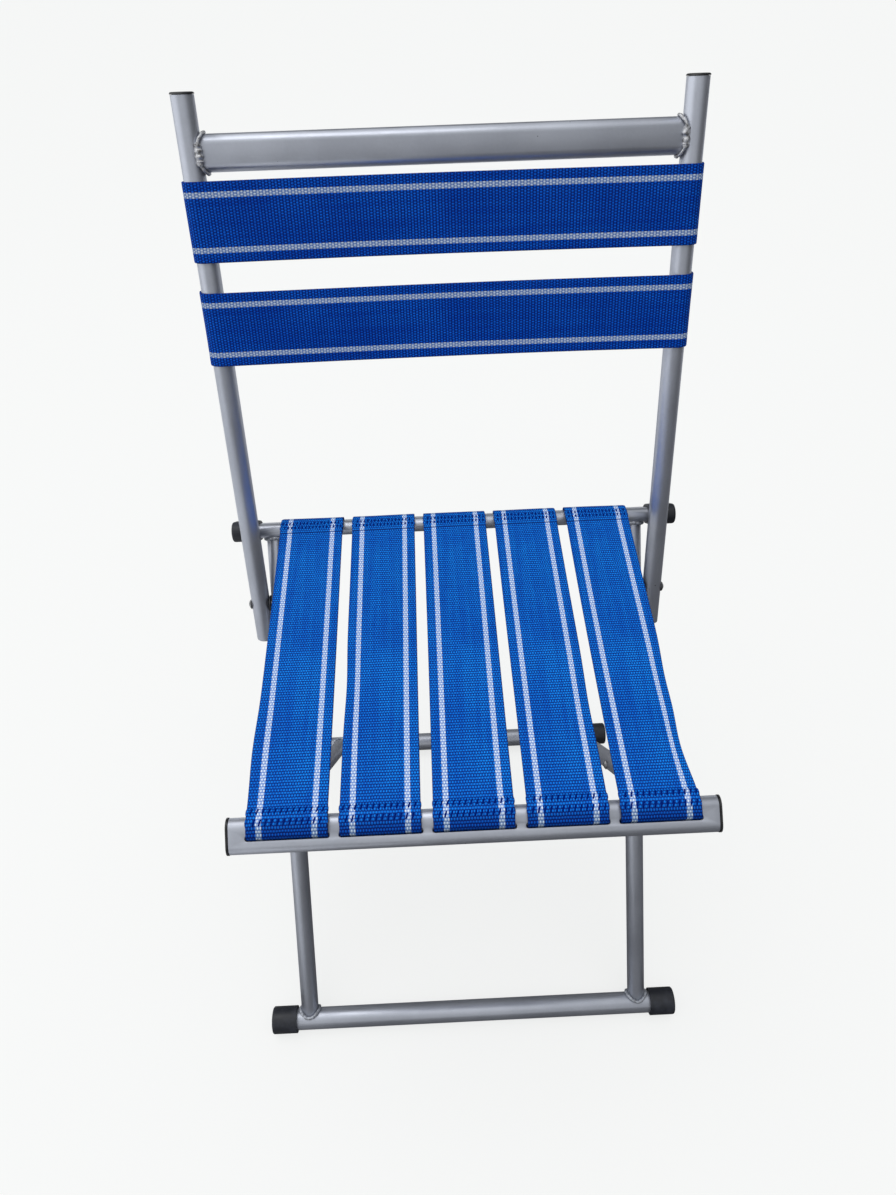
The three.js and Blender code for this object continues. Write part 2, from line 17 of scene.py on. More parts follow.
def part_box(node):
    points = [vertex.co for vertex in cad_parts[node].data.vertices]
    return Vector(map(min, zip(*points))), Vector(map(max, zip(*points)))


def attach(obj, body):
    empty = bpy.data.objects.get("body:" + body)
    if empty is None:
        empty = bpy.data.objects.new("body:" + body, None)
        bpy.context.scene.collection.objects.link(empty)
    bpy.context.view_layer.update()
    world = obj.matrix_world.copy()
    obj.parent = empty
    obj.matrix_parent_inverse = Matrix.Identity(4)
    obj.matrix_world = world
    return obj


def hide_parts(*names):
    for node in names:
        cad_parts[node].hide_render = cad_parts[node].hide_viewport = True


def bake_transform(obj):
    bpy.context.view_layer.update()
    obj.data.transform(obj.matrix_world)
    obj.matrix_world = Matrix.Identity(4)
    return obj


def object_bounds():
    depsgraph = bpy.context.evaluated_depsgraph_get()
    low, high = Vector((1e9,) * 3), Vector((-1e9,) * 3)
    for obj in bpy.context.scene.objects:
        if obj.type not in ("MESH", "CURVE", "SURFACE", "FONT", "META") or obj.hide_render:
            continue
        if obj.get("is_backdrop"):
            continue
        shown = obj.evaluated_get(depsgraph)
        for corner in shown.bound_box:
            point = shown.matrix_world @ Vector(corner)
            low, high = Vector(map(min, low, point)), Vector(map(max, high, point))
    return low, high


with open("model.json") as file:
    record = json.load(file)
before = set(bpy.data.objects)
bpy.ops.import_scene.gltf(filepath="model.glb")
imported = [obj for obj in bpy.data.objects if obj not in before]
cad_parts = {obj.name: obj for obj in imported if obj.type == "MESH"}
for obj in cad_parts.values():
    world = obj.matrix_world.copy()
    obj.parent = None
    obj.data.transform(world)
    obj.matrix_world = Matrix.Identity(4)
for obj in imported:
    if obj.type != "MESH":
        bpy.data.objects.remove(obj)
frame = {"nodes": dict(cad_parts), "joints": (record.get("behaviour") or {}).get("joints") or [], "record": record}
cad_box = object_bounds()
nodes = frame["nodes"]
scene = bpy.context.scene
MM = 0.001
wide, deep, tall = ((high - low) / MM for low, high in zip(*cad_box))
print(f"{len(nodes)} packed pieces, {wide:.1f} mm wide, {deep:.1f} mm deep and {tall:.1f} mm high")

# %% [markdown]
# ## Where the pieces are
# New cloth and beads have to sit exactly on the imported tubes. Their places could be typed in, but
# then a change of the model would leave them behind. So they are read from the model: the middle
# of a piece is the middle of its box, and the folding turns about two hinges.

# %% Middles and hinges
def middle(node):
    low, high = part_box(node)
    return (low + high) / 2


hinges = {joint["name"]: Vector(joint["pos_m"]) for joint in frame["joints"]}
FOLD = hinges["frame_fold"]
BACK = hinges["backrest_fold"]
REAR_RAIL = middle("rear_seat_rail")
FRONT_RAIL = middle("front_seat_rail")
CROSSBAR = middle("top_crossbar")
print(f"the legs cross {FOLD.z / MM:.0f} mm above the floor, and the seat is at {REAR_RAIL.z / MM:.0f} mm")

# %% [markdown]
# ## Three leaning frames
# The outer and the inner legs lean by the same angle, one forwards and one backwards, and the back
# leans on rivets of its own. Drawing on a leaning tube is hard, and on a tube that stands upright at
# the origin it is easy. So each frame has a matrix that carries a piece drawn upright into place.

# %% Leaning frames
def leaning(hinge, angle):
    return Matrix.Translation(hinge) @ Matrix.Rotation(-angle, 4, "X")


OPENING = math.atan2(REAR_RAIL.y - FOLD.y, REAR_RAIL.z - FOLD.z)
LEAN = math.atan2(CROSSBAR.y - BACK.y, CROSSBAR.z - BACK.z)
OUTER_FRAME = leaning(FOLD, OPENING)
INNER_FRAME = leaning(FOLD, -OPENING)
BACKREST = leaning(BACK, LEAN)
print(f"each frame leans {math.degrees(OPENING):.1f} degrees, and the back {math.degrees(LEAN):.1f} degrees")

# %% [markdown]
# ## A finish written as a formula
# A finish in Blender is a graph of small nodes joined by wires. It can be drawn by hand in the
# shader editor, but a long graph is hard to draw twice the same. Here a short call adds each node,
# and any socket takes either a plain value or the output of another node, so that a finish reads
# like a formula.

# %% Nodes and wires
class Graph:
    def __init__(self, tree):
        self.tree = tree
        self.tree.nodes.clear()

    def feed(self, socket, value):
        if isinstance(value, bpy.types.NodeSocket):
            self.tree.links.new(value, socket)
        else:
            socket.default_value = value

    def node(self, kind, settings=None, **inputs):
        made = self.tree.nodes.new(kind)
        for key, value in (settings or {}).items():
            setattr(made, key, value)
        for key, value in inputs.items():
            self.feed(made.inputs[key.replace("_", " ")], value)
        return made

    def math(self, operation, *values):
        made = self.node("ShaderNodeMath", {"operation": operation})
        for socket, value in zip(made.inputs, values):
            self.feed(socket, value)
        return made.outputs[0]


print("a graph adds nodes of any kind, and wires or fills their sockets")

# %% [markdown]
# ## Patterns
# Most finishes need the same few steps: noise, which makes clouds and grain, a ramp, which turns a
# range of values smoothly into another range, and a mix of two colours. The scale of a noise counts
# its lumps in a metre, so a scale of 16 makes clouds about 6 cm wide, and 1500 makes fine grain.

# %% Noise, ramps and mixes
class Pattern(Graph):
    def ramp(self, value, low, high, to_low=0.0, to_high=1.0):
        made = self.node("ShaderNodeMapRange", {"interpolation_type": "SMOOTHSTEP"})
        for socket, given in zip(made.inputs, (value, low, high, to_low, to_high)):
            self.feed(socket, given)
        return made.outputs[0]

    def mix(self, factor, first, second):
        made = self.node("ShaderNodeMix", {"data_type": "RGBA"}, Factor=factor)
        self.feed(made.inputs["A"], first)
        self.feed(made.inputs["B"], second)
        return made.outputs["Result"]

    def noise(self, vector, scale, detail=3.0, roughness=0.55):
        made = self.node("ShaderNodeTexNoise", Vector=vector, Scale=scale, Detail=detail, Roughness=roughness)
        return made.outputs["Fac"]

    def either(self, factor, first, second):
        """The first surface or light where factor is 0, and the second where it is 1."""
        made = self.node("ShaderNodeMixShader", Fac=factor)
        self.tree.links.new(first.outputs[0], made.inputs[1])
        self.tree.links.new(second.outputs[0], made.inputs[2])
        return made


print("patterns: noise, ramps, mixes of two colours, and a choice of two surfaces")

# %% [markdown]
# ## From a pattern to a material
# A finish starts as an empty material and ends with one surface. Grain that is too small to model
# is a bump: it leaves the shape alone and only tilts the light, so it costs nothing. Colours are
# written as they look on a screen, counted to 255. Shaders count light instead, so each colour is
# turned into its share of light.

# %% Materials
class Finish(Pattern):
    def __init__(self, name):
        self.material = bpy.data.materials.new(name)
        self.material.use_nodes = True
        super().__init__(self.material.node_tree)

    def place(self):
        return self.node("ShaderNodeTexCoord").outputs["Object"]

    def bump(self, height, strength, distance):
        made = self.node("ShaderNodeBump", Height=height, Strength=strength, Distance=distance)
        return made.outputs["Normal"]

    def made_of(self, surface):
        out = self.node("ShaderNodeOutputMaterial")
        self.tree.links.new(surface.outputs[0], out.inputs["Surface"])
        return self.material

    def surface(self, **inputs):
        return self.made_of(self.node("ShaderNodeBsdfPrincipled", **inputs))


print("a finish is one material with one surface")

# %% Colours
def colour(red, green, blue):
    def light(part):
        part = part / 255
        return part / 12.92 if part <= 0.04045 else ((part + 0.055) / 1.055) ** 2.4
    return (light(red), light(green), light(blue), 1.0)


print(f"a grey of 128 gives back {colour(128, 128, 128)[0]:.2f} of the light")

# %% [markdown]
# ## Silver paint
# All the tubes, rails and bars carry one thin coat of silver-grey paint. It is lighter and darker in
# soft clouds, its skin is dimpled like the peel of an orange, and a few specks of dust are caught in
# it. A painted map would have to be fitted to every tube, while noise in space fits any shape. The
# specks sit in the middles of a pattern of cells, and only where a second noise is high.

# %% Silver paint
def silver_paint():
    s = Finish("silver_paint")
    place = s.place()
    clouds = s.math("MULTIPLY", s.noise(place, 16.0), 0.8)
    grain = s.math("MULTIPLY", s.noise(place, 420.0, 2.0), 0.2)
    tone = s.ramp(s.math("ADD", clouds, grain), 0.3, 0.7)
    coat = s.mix(tone, colour(180, 184, 194), colour(192, 196, 206))
    cells = s.node("ShaderNodeTexVoronoi", Vector=place, Scale=70.0)
    in_middle = s.ramp(cells.outputs["Distance"], 0.03, 0.06, 1.0, 0.0)
    here = s.math("GREATER_THAN", s.noise(place, 33.0, 1.0), 0.62)
    specked = s.mix(s.math("MULTIPLY", in_middle, here), coat, colour(60, 60, 62))
    rough = s.ramp(s.noise(place, 30.0), 0.3, 0.7, 0.34, 0.43)
    peel = s.bump(s.noise(place, 500.0, 2.0), 0.05, 0.2 * MM)
    return s.surface(Base_Color=specked, Metallic=0.8, Roughness=rough, Normal=peel)


looks = {"painted_steel": silver_paint()}
print("silver paint:", len(looks["painted_steel"].node_tree.nodes), "nodes")

# %% [markdown]
# ## Bare steel
# The rivets, and the rods inside the rails and posts, are bare steel. It is scratched by handling, so
# one fine noise drives three things together: where it is high, the steel is lighter, duller and a
# little raised. Using the same noise for all three is what makes the wear look real.

# %% Bare steel
def bare_steel():
    s = Finish("bright_steel")
    worn = s.noise(s.place(), 180.0, 4.0)
    tone = s.mix(s.ramp(worn, 0.35, 0.7), colour(120, 120, 122), colour(178, 178, 180))
    rough = s.ramp(worn, 0.3, 0.7, 0.28, 0.45)
    return s.surface(Base_Color=tone, Metallic=0.9, Roughness=rough, Normal=s.bump(worn, 0.15, 0.2 * MM))


looks["bright_steel"] = bare_steel()
print("bare steel:", len(looks["bright_steel"].node_tree.nodes), "nodes")

# %% [markdown]
# ## Weld metal
# The beads that join the tubes are rough, with pits that stay dark. At the crossbar the metal is
# nearly bare. The beads on the legs lie under a full coat of paint, so they are closer in colour to
# the tubes, and smoother. One function makes both, from a dark and a light tone and a depth.

# %% Weld metal
def weld_metal(name, dark, light, pitted):
    s = Finish(name)
    lumps = s.noise(s.place(), 420.0, 5.0, 0.65)
    tone = s.mix(s.ramp(lumps, 0.32, 0.55), dark, light)
    rough = s.ramp(lumps, 0.3, 0.7, 0.55, 0.4)
    return s.surface(Base_Color=tone, Metallic=0.6, Roughness=rough, Normal=s.bump(lumps, pitted, 0.5 * MM))


bare_weld = weld_metal("bare_weld", colour(112, 110, 110), colour(206, 207, 210), 0.5)
painted_weld = weld_metal("painted_weld", colour(142, 144, 150), colour(176, 180, 188), 0.2)
looks["weld_metal"] = painted_weld
print("weld metal: bare on the crossbar, painted on the legs")

# %% [markdown]
# ## Rubber, plastic and nylon
# The boots on the floor bars and on the rear rail are dull black rubber, scuffed lighter. The plugs
# in the front rail and in the posts are a harder, shinier black plastic. The washers are grey nylon.
# All three are moulded, so they differ only in tone, in shine and in how coarse their grain is.

# %% Rubber
def rubber():
    s = Finish("black_rubber")
    place = s.place()
    scuff = s.noise(place, 70.0, 4.0, 0.6)
    tone = s.mix(s.ramp(scuff, 0.45, 0.75), colour(27, 30, 38), colour(48, 51, 60))
    rough = s.ramp(scuff, 0.35, 0.7, 0.42, 0.6)
    grain = s.bump(s.noise(place, 1500.0, 2.0), 0.25, 0.12 * MM)
    return s.surface(Base_Color=tone, Roughness=rough, Normal=grain)


looks["black_rubber"] = rubber()
print("rubber:", len(looks["black_rubber"].node_tree.nodes), "nodes")

# %% Plastic and nylon
def plastic():
    s = Finish("black_plastic")
    place = s.place()
    tone = s.mix(s.ramp(s.noise(place, 120.0), 0.4, 0.7), colour(22, 22, 24), colour(36, 36, 38))
    grain = s.bump(s.noise(place, 900.0), 0.2, 0.1 * MM)
    return s.surface(Base_Color=tone, Roughness=0.38, Normal=grain)


def nylon():
    s = Finish("nylon")
    grain = s.noise(s.place(), 700.0)
    tone = s.mix(grain, colour(40, 40, 43), colour(62, 62, 65))
    return s.surface(Base_Color=tone, Roughness=0.5, Normal=s.bump(grain, 0.2, 0.1 * MM))


looks["black_plastic"] = plastic()
looks["nylon"] = nylon()
print("finishes so far:", ", ".join(looks))

# %% [markdown]
# ## The weave of the webbing
# The webbing is a narrow plain weave. Thick weft yarns run across it, and finer warp yarns run along
# it and go over and under them in turn. Its yarns could be modelled one by one, but there are tens
# of thousands of crossings, so the weave is a height instead, worked out from a map of the cloth.
# The map gives the place across and the place along in metres, so the yarns have their real size on
# every piece. Rows and columns of round ridges make the yarns. A checkered term lifts every other
# crossing, and every other warp yarn stands a little proud.

# %% Yarns
WARP_PITCH = 1.07 * MM
WEFT_PITCH = 2.5 * MM
WEFT_WANDER = 0.3


def ridge(s, count):
    """A round ridge over each whole step of count, highest in its middle."""
    from_middle = s.math("SUBTRACT", s.math("FRACT", count), 0.5)
    return s.math("COSINE", s.math("MULTIPLY", from_middle, math.pi))


def weave_height(s, uv, across, along):
    """The height of the top yarn, and the number of the warp yarn, counted from the middle."""
    wander = s.math("MULTIPLY", s.math("SUBTRACT", s.noise(uv, 160.0, 2.0), 0.5), WEFT_WANDER)
    warp = s.math("DIVIDE", across, WARP_PITCH)
    weft = s.math("ADD", s.math("DIVIDE", along, WEFT_PITCH), wander)
    yarn = s.math("FLOOR", warp)
    checker = s.math("ADD", s.math("SUBTRACT", weft, 0.5), yarn)
    over = s.math("COSINE", s.math("MULTIPLY", checker, math.pi))
    proud = s.math("COSINE", s.math("MULTIPLY", yarn, math.pi))
    ridges = s.math("ADD", s.math("MULTIPLY", ridge(s, weft), 0.74), s.math("MULTIPLY", ridge(s, warp), 0.25))
    crossings = s.math("ADD", s.math("MULTIPLY", over, 0.29), s.math("MULTIPLY", proud, 0.06))
    return s.math("ADD", ridges, crossings), yarn


print(f"a square centimetre of webbing holds {10 * MM / WARP_PITCH * 10 * MM / WEFT_PITCH:.0f} crossings")

# %% [markdown]
# ## The dyes of the webbing
# The yarns are blue, and a narrow pale stripe runs near each edge. A stripe laid over the cloth would
# cut through yarns. On real webbing it is woven of pale warp yarns, so here a yarn is pale or blue
# over its whole width, and the stripe's edges follow the weave. The crown of a yarn is painted paler,
# as painted light, and the gap beside it darker, as painted shade; in a stripe the gap is also bluer,
# where the blue weft shows. The sun has faded the seat in streaks and clouds. Where a strap goes round
# its rail, facing away from the light, its colour is painted darker, as painted shade.

# %% Stripes and dyes
STRIPE_CENTRE = 20.3 * MM
STRIPE_HALF = 2.15 * MM
# Painted shade: where a strap goes round its rail its colour is painted darker, setting in over this length.
WRAP_SHADE_FADE = 10 * MM


def striped(s, yarn):
    """1 on the pale yarns, and 0 on the blue ones."""
    yarn_place = s.math("MULTIPLY", s.math("ADD", yarn, 0.5), WARP_PITCH)
    from_stripe = s.math("ABSOLUTE", s.math("SUBTRACT", s.math("ABSOLUTE", yarn_place), STRIPE_CENTRE))
    return s.math("LESS_THAN", from_stripe, STRIPE_HALF)


def faded(s, uv, green):
    """The sun-faded blue, in streaks along the cloth and in clouds."""
    stretched = s.node("ShaderNodeMapping", Vector=uv, Scale=(240.0, 7.0, 1.0))
    streaks = s.noise(stretched.outputs["Vector"], 1.0)
    variation = s.math("ADD", s.math("MULTIPLY", streaks, 0.5), s.math("MULTIPLY", s.noise(uv, 17.0), 0.5))
    return s.mix(s.ramp(variation, 0.36, 0.64), colour(0, 112 * green, 224), colour(16, 146 * green, 254))


print(f"each stripe is about {2 * STRIPE_HALF / WARP_PITCH:.0f} yarns wide")

# %% Blue and pale yarns
def dyed(s, uv, crown, in_stripe, wrap_shade, green):
    # Painted light and shade: each colour runs from a darker gap to a paler crown of the yarn.
    blue = s.mix(crown, colour(0, 40 * green, 124), faded(s, uv, green))
    pale = s.mix(crown, colour(108, 142, 208), colour(228, 241, 255))
    # Painted shade: darker copies of the blue and the pale, for where the cloth goes round a rail.
    shaded_blue = s.mix(crown, colour(0, 24, 97), colour(0, 86, 194))
    shaded_pale = s.mix(crown, colour(88, 118, 168), colour(196, 214, 232))
    return s.mix(in_stripe, s.mix(wrap_shade, blue, shaded_blue), s.mix(wrap_shade, pale, shaded_pale))


# Painted shade: round a rail the colour is painted darker, and this is the length over which it sets in.
print(f"the deep dye sets in over {WRAP_SHADE_FADE / MM:.0f} mm")

# %% [markdown]
# ## The webbing as a material
# Weave and dyes come together here. Two more things are darker: the selvage, where the weft turns
# back at the edge, and which is also painted darker for the shade on its rounded edge, and the crease
# over the fold of a hem, which gets a painted shadow of the hem's step. The cloth is rough and hardly
# shines. The back is painted with less green in its blue than the seat, as painted shade, since it
# faces away from the light, so the webbing is made twice.

# %% Webbing
SELVAGE = 1.4 * MM
strap_low, strap_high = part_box("seat_strap_1")
WEB_WIDTH = strap_high.x - strap_low.x


def webbing(name, green, wrap_shade_from, crease):
    """green is the share of the blue's green that is kept; the back's copy has less, as painted shade.
    wrap_shade_from and crease are how far from the middle of its length the webbing goes round a
    rail, and is folded over its hem. Round a rail the colour is painted darker, as painted shade, and
    the crease gets a painted shadow."""
    s = Finish(name)
    uv = s.node("ShaderNodeUVMap", {"uv_map": "weave"}).outputs["UV"]
    split = s.node("ShaderNodeSeparateXYZ", Vector=uv)
    across, along = split.outputs["X"], split.outputs["Y"]
    height, yarn = weave_height(s, uv, across, along)
    crown = s.ramp(height, 0.3, 1.15)
    # Painted shade: 1 where the cloth goes round a rail, facing away from the light, and there its colour is
    # painted darker.
    wrap_shade = s.ramp(s.math("ABSOLUTE", along), wrap_shade_from, wrap_shade_from + WRAP_SHADE_FADE)
    cloth = dyed(s, uv, crown, striped(s, yarn), wrap_shade, green)
    # Partly painted shade: the selvage is darker where its yarns turn back, and also painted darker for the shade
    # on its rounded edge.
    selvage = s.ramp(s.math("ABSOLUTE", across), WEB_WIDTH / 2 - SELVAGE, WEB_WIDTH / 2, 0.0, 0.6)
    from_crease = s.math("ABSOLUTE", s.math("SUBTRACT", along, crease))
    # Painted shadow: a dark line along the crease, where the hem's step throws its shadow.
    crease_shadow = s.ramp(from_crease, 0.2 * MM, 1.1 * MM, 0.55, 0.0)
    woven = s.mix(s.math("MAXIMUM", selvage, crease_shadow), cloth, colour(0, 36, 104))
    yarns = s.bump(height, 0.85, 0.4 * MM)
    return s.surface(Base_Color=woven, Roughness=0.7, Specular_IOR_Level=0.1, Normal=yarns)


print(f"webbing {WEB_WIDTH / MM:.0f} mm wide, with selvages of {SELVAGE / MM:.1f} mm")

# %% Webbing of the seat and of the back
OVAL_HALF_FLAT = 6.5 * MM
REAR_HEM = 15 * MM
# Further from the middle than any band reaches, so no band gets the painted shade of a wrap or the painted shadow
# of a crease.
NEVER = 1.0
STRAP_LEAVES = FOLD.y - FRONT_RAIL.y - OVAL_HALF_FLAT * math.cos(OPENING)
seat_webbing = webbing("seat_webbing", 1.0, STRAP_LEAVES, STRAP_LEAVES - REAR_HEM)
# Painted shade: the back's copy has less green in its blue, a shaded copy of the seat's webbing.
back_webbing = webbing("back_webbing", 0.82, NEVER, NEVER)
looks["webbing"] = seat_webbing
print(f"a strap is free of the rails over {2 * STRAP_LEAVES / MM:.0f} mm")

# %% [markdown]
# ## Sewing thread
# The hems are sewn with a thick thread. It is painted a darker blue than the cloth, as painted shade,
# for the shade in the dents that it pulls. Its strands could be modelled, but they are thinner than a
# pixel of the picture, so fine noise stands for its twist. It has almost no shine, because a shine
# would turn such a dark blue grey.

# %% Sewing thread
def thread():
    s = Finish("sewing_thread")
    twist = s.noise(s.place(), 1600.0, 2.0)
    # Painted shade: the thread is painted darker than the cloth, for the shade in the dents it lies in.
    tone = s.mix(twist, colour(0, 20, 94), colour(0, 34, 122))
    strands = s.bump(twist, 0.4, 0.15 * MM)
    return s.surface(Base_Color=tone, Roughness=0.75, Specular_IOR_Level=0.03, Normal=strands)


sewing_thread = thread()
print("sewing thread:", len(sewing_thread.node_tree.nodes), "nodes")

# %% [markdown]
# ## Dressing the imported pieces
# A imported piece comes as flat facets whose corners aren't joined. Modelling it again would be double
# work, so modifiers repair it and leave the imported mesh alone. Its corners are merged, facets in one
# plane become one face, and cut edges are rounded a little, as paint rounds them. Then only sharp
# edges are split, so that round tubes shade smoothly. Moulded pieces keep their edges as they are.

# %% Rounded edges
EDGE_ROUND = 0.35 * MM


def round_cut_edges(piece):
    flats = piece.modifiers.new("flats", "DECIMATE")
    flats.decimate_type = "DISSOLVE"
    flats.angle_limit = math.radians(0.5)
    bevel = piece.modifiers.new("round", "BEVEL")
    bevel.width = EDGE_ROUND
    bevel.segments = 2
    bevel.limit_method = "ANGLE"
    bevel.angle_limit = math.radians(40)


print(f"cut edges are rounded by {EDGE_ROUND / MM:.2f} mm")

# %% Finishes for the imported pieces
def dress(piece, painted):
    old = piece.data.attributes.get("custom_normal")
    if old is not None:
        piece.data.attributes.remove(old)
    piece.data.polygons.foreach_set("use_smooth", [True] * len(piece.data.polygons))
    for slot in piece.material_slots:
        slot.material = looks[slot.name.split(".")[0]]
    merge = piece.modifiers.new("merge", "WELD")
    merge.merge_threshold = 0.01 * MM
    if painted:
        round_cut_edges(piece)
    split = piece.modifiers.new("split", "EDGE_SPLIT")
    split.split_angle = math.radians(50)


slot_of = {part["node"]: part["material_slot"] for part in frame["record"]["subparts"]}
for node, piece in nodes.items():
    dress(piece, slot_of[node] == "painted_steel")
for look in looks:
    print(look, "on", list(slot_of.values()).count(look), "pieces")

# %% [markdown]
# ## New meshes
# Webbing, thread and weld beads are all the same kind of mesh: an outline that is carried along a
# line and joined into quads from one step to the next. Blender can sweep a curve by itself, but here
# every point is placed by a formula, so that cloth and thread can share one. The mesh is written out
# as points and faces.

# %% Points and faces
def mesh_object(name, points, faces, material):
    data = bpy.data.meshes.new(name)
    data.from_pydata([tuple(p) for p in points], [], faces)
    data.materials.append(material)
    data.polygons.foreach_set("use_smooth", [True] * len(data.polygons))
    data.update()
    piece = bpy.data.objects.new(name, data)
    scene.collection.objects.link(piece)
    return piece


def swept_faces(outlines, around, closed):
    """Quads from each outline to the next one. If the sweep isn't closed, its two ends are filled."""
    faces = []
    for i in range(outlines if closed else outlines - 1):
        here, there = i * around, (i + 1) % outlines * around
        for j in range(around):
            beside = (j + 1) % around
            faces.append((here + j, here + beside, there + beside, there + j))
    if not closed:
        faces.append(tuple(reversed(range(around))))
        faces.append(tuple(range((outlines - 1) * around, outlines * around)))
    return faces


print("three outlines of four points make", len(swept_faces(3, 4, False)), "faces")

# %% [markdown]
# ## Webbing as a ribbon
# A strip of cloth could be a flat grid that is bent by hand round every rail. It is simpler to draw
# it edge on, as one line in a plane, and to give that line a width. A length of webbing is kept like
# that, as a ribbon. Any point of the cloth then has three plain numbers: `s`, how far along it is, `u`,
# how far across, and how high over the middle of the cloth. The normal is the way out of the cloth.

# %% Ribbon
class Ribbon:
    """plane is a point and two directions, in which line is drawn. across is the way of its width.
    middle_at is the place along from which the weave's map is measured."""

    def __init__(self, name, line, plane, across, look, middle_at, rows, folds, pinches, seed):
        self.name, self.look, self.seed = name, look, seed
        self.plane, self.across, self.middle_at = plane, across, middle_at
        self.rows, self.folds, self.pinches = rows, folds, pinches
        self.line = line
        steps = np.linalg.norm(np.diff(line, axis=0), axis=1)
        self.s = np.concatenate(([0.0], np.cumsum(steps)))
        way = np.gradient(line, axis=0)
        way /= np.linalg.norm(way, axis=1)[:, None]
        self.normal = np.column_stack((-way[:, 1], way[:, 0]))


print("a ribbon knows its middle line, its plane, its stitches and its hems")

# %% [markdown]
# ## Stitches that dent the cloth
# A tight stitch pulls a dent into the cloth, and the cloth puffs up between stitches. That is what
# makes a hem look sewn. A bump would vanish when the hem is seen from the side, so the dents are real
# shape. Each row has a place along the cloth, a spacing, a stitch length, a slant and a start. A dent
# has the round profile of a bell curve.

# %% Stitch rows
STITCH_DEPTH = 0.85 * MM
STITCH_WIDTH = 1.2 * MM
PUCKER = 0.3 * MM
SPREAD_SHARE = 0.018


def stitch_row(s, pitch, length, slant, phase):
    return {"s": s, "pitch": pitch, "length": length, "slant": slant, "phase": phase}


print(f"cloth puffs up {PUCKER / MM:.1f} mm beside a stitch")

# %% Dents
def eased(share):
    return share * share * (3 - 2 * share)


def near_row(s, row):
    """1 on a row of stitches, falling smoothly to 0 just past the ends of its stitches."""
    return eased(np.clip(1.4 - np.abs(s - row["s"]) / (0.5 * row["length"]), 0, 1))


def stitched(row, s, u):
    beat = (u - row["slant"] * (s - row["s"])) / row["pitch"] + row["phase"]
    beside = np.abs(beat - np.round(beat)) * row["pitch"]
    return near_row(s, row) * (PUCKER - STITCH_DEPTH * np.exp(-((beside / STITCH_WIDTH) ** 2)))


def spread(ribbon, s):
    """How much wider the cloth is pressed where it is sewn."""
    return 1 + SPREAD_SHARE * np.clip(sum(near_row(s, row) for row in ribbon.rows), 0, 1)


sample_row = stitch_row(0.0, 4 * MM, 5 * MM, 0.0, 0.0)
print(f"a stitch pulls the cloth down by {-stitched(sample_row, 0.0, 0.0) / MM:.2f} mm")

# %% [markdown]
# ## How webbing lies
# The cloth over a hem is lifted by the layers beneath, and drops in a short step where the hem's fold
# ends. Its edges are drawn in where a strap was pulled askew, and no strap is quite straight. All of
# this moves the cloth by about 5 mm at most, but perfectly straight cloth looks like painted board.

# %% Step of a hem
FOLD_STEP = 0.9 * MM
FOLD_WIDTH = 1.2 * MM


def hem_step(s, leave, fold):
    """The rise over a hem, from where the cloth leaves the rail to the fold of the hem."""
    share = np.clip((s - leave) / (fold - leave), 0, 1)
    drop = np.clip((1 - share) * abs(fold - leave) / FOLD_WIDTH, 0, 1)
    return FOLD_STEP * eased(np.clip(2 * share, 0, 1)) * drop


print(f"a hem rises {FOLD_STEP / MM:.1f} mm and drops again over {FOLD_WIDTH / MM:.1f} mm")

# %% Waves and drawn-in edges
WAVE_HEIGHT = 0.16 * MM
WAVE_ALONG = 31 * MM
WAVE_ACROSS = 17 * MM
DRIFT = 0.25 * MM
DRIFT_ALONG = 90 * MM
PINCH_REACH = 34 * MM


def lift(ribbon, s, u):
    """How far the cloth lies off its middle line."""
    wave = np.sin(s / WAVE_ALONG + ribbon.seed) * np.cos(u / WAVE_ACROSS + 2.1 * ribbon.seed)
    height = WAVE_HEIGHT * wave
    for row in ribbon.rows:
        height = height + stitched(row, s, u)
    for leave, fold in ribbon.folds:
        height = height + hem_step(s, leave, fold)
    return height


def drawn_in(ribbon, s, u):
    """How far the edges are drawn in towards the middle, and how far the whole cloth drifts aside."""
    moved = np.zeros(np.broadcast(s, u).shape)
    for place, side, depth in ribbon.pinches:
        share = np.clip(u * side / (WEB_WIDTH / 2), 0, 1)
        moved = moved - side * depth * share**3 * np.exp(-(((s - place) / PINCH_REACH) ** 2))
    return moved + DRIFT * np.sin(s / DRIFT_ALONG + 1.7 * ribbon.seed)


print(f"a drawn-in edge reaches {PINCH_REACH / MM:.0f} mm to each side")

# %% [markdown]
# ## From place on the cloth to place in space
# One function turns `s`, `u` and the height into a point. The cloth and the thread both use it, so a
# stitch always lies in the dent that it pulls, however the strap waves.

# %% Points of the cloth
def cloth_point(ribbon, s, u, over):
    s, u, over = np.broadcast_arrays(s, u, over)
    first = np.interp(s, ribbon.s, ribbon.line[:, 0])
    second = np.interp(s, ribbon.s, ribbon.line[:, 1])
    n_first = np.interp(s, ribbon.s, ribbon.normal[:, 0])
    n_second = np.interp(s, ribbon.s, ribbon.normal[:, 1])
    height = over + lift(ribbon, s, u)
    sideways = u * spread(ribbon, s) + drawn_in(ribbon, s, u)
    origin, axis_first, axis_second = (np.array(v) for v in ribbon.plane)
    return (
        origin
        + (first + n_first * height)[..., None] * axis_first
        + (second + n_second * height)[..., None] * axis_second
        + sideways[..., None] * np.array(ribbon.across)
    )


print("cloth and thread share one function for their points")

# %% [markdown]
# ## The cloth's mesh and its map
# The outline of the cloth, cut across, is flat above and below with round edges. It has many columns,
# because a dent is only as sharp as the points that make it. The weave's map could be unwrapped by
# Blender, but that would stretch it at every bend. It is laid at once instead: each corner of the
# mesh takes its own place across and along, in metres.

# %% Outline of the cloth
WEB_THICKNESS = 1.3 * MM
COLUMNS = 72


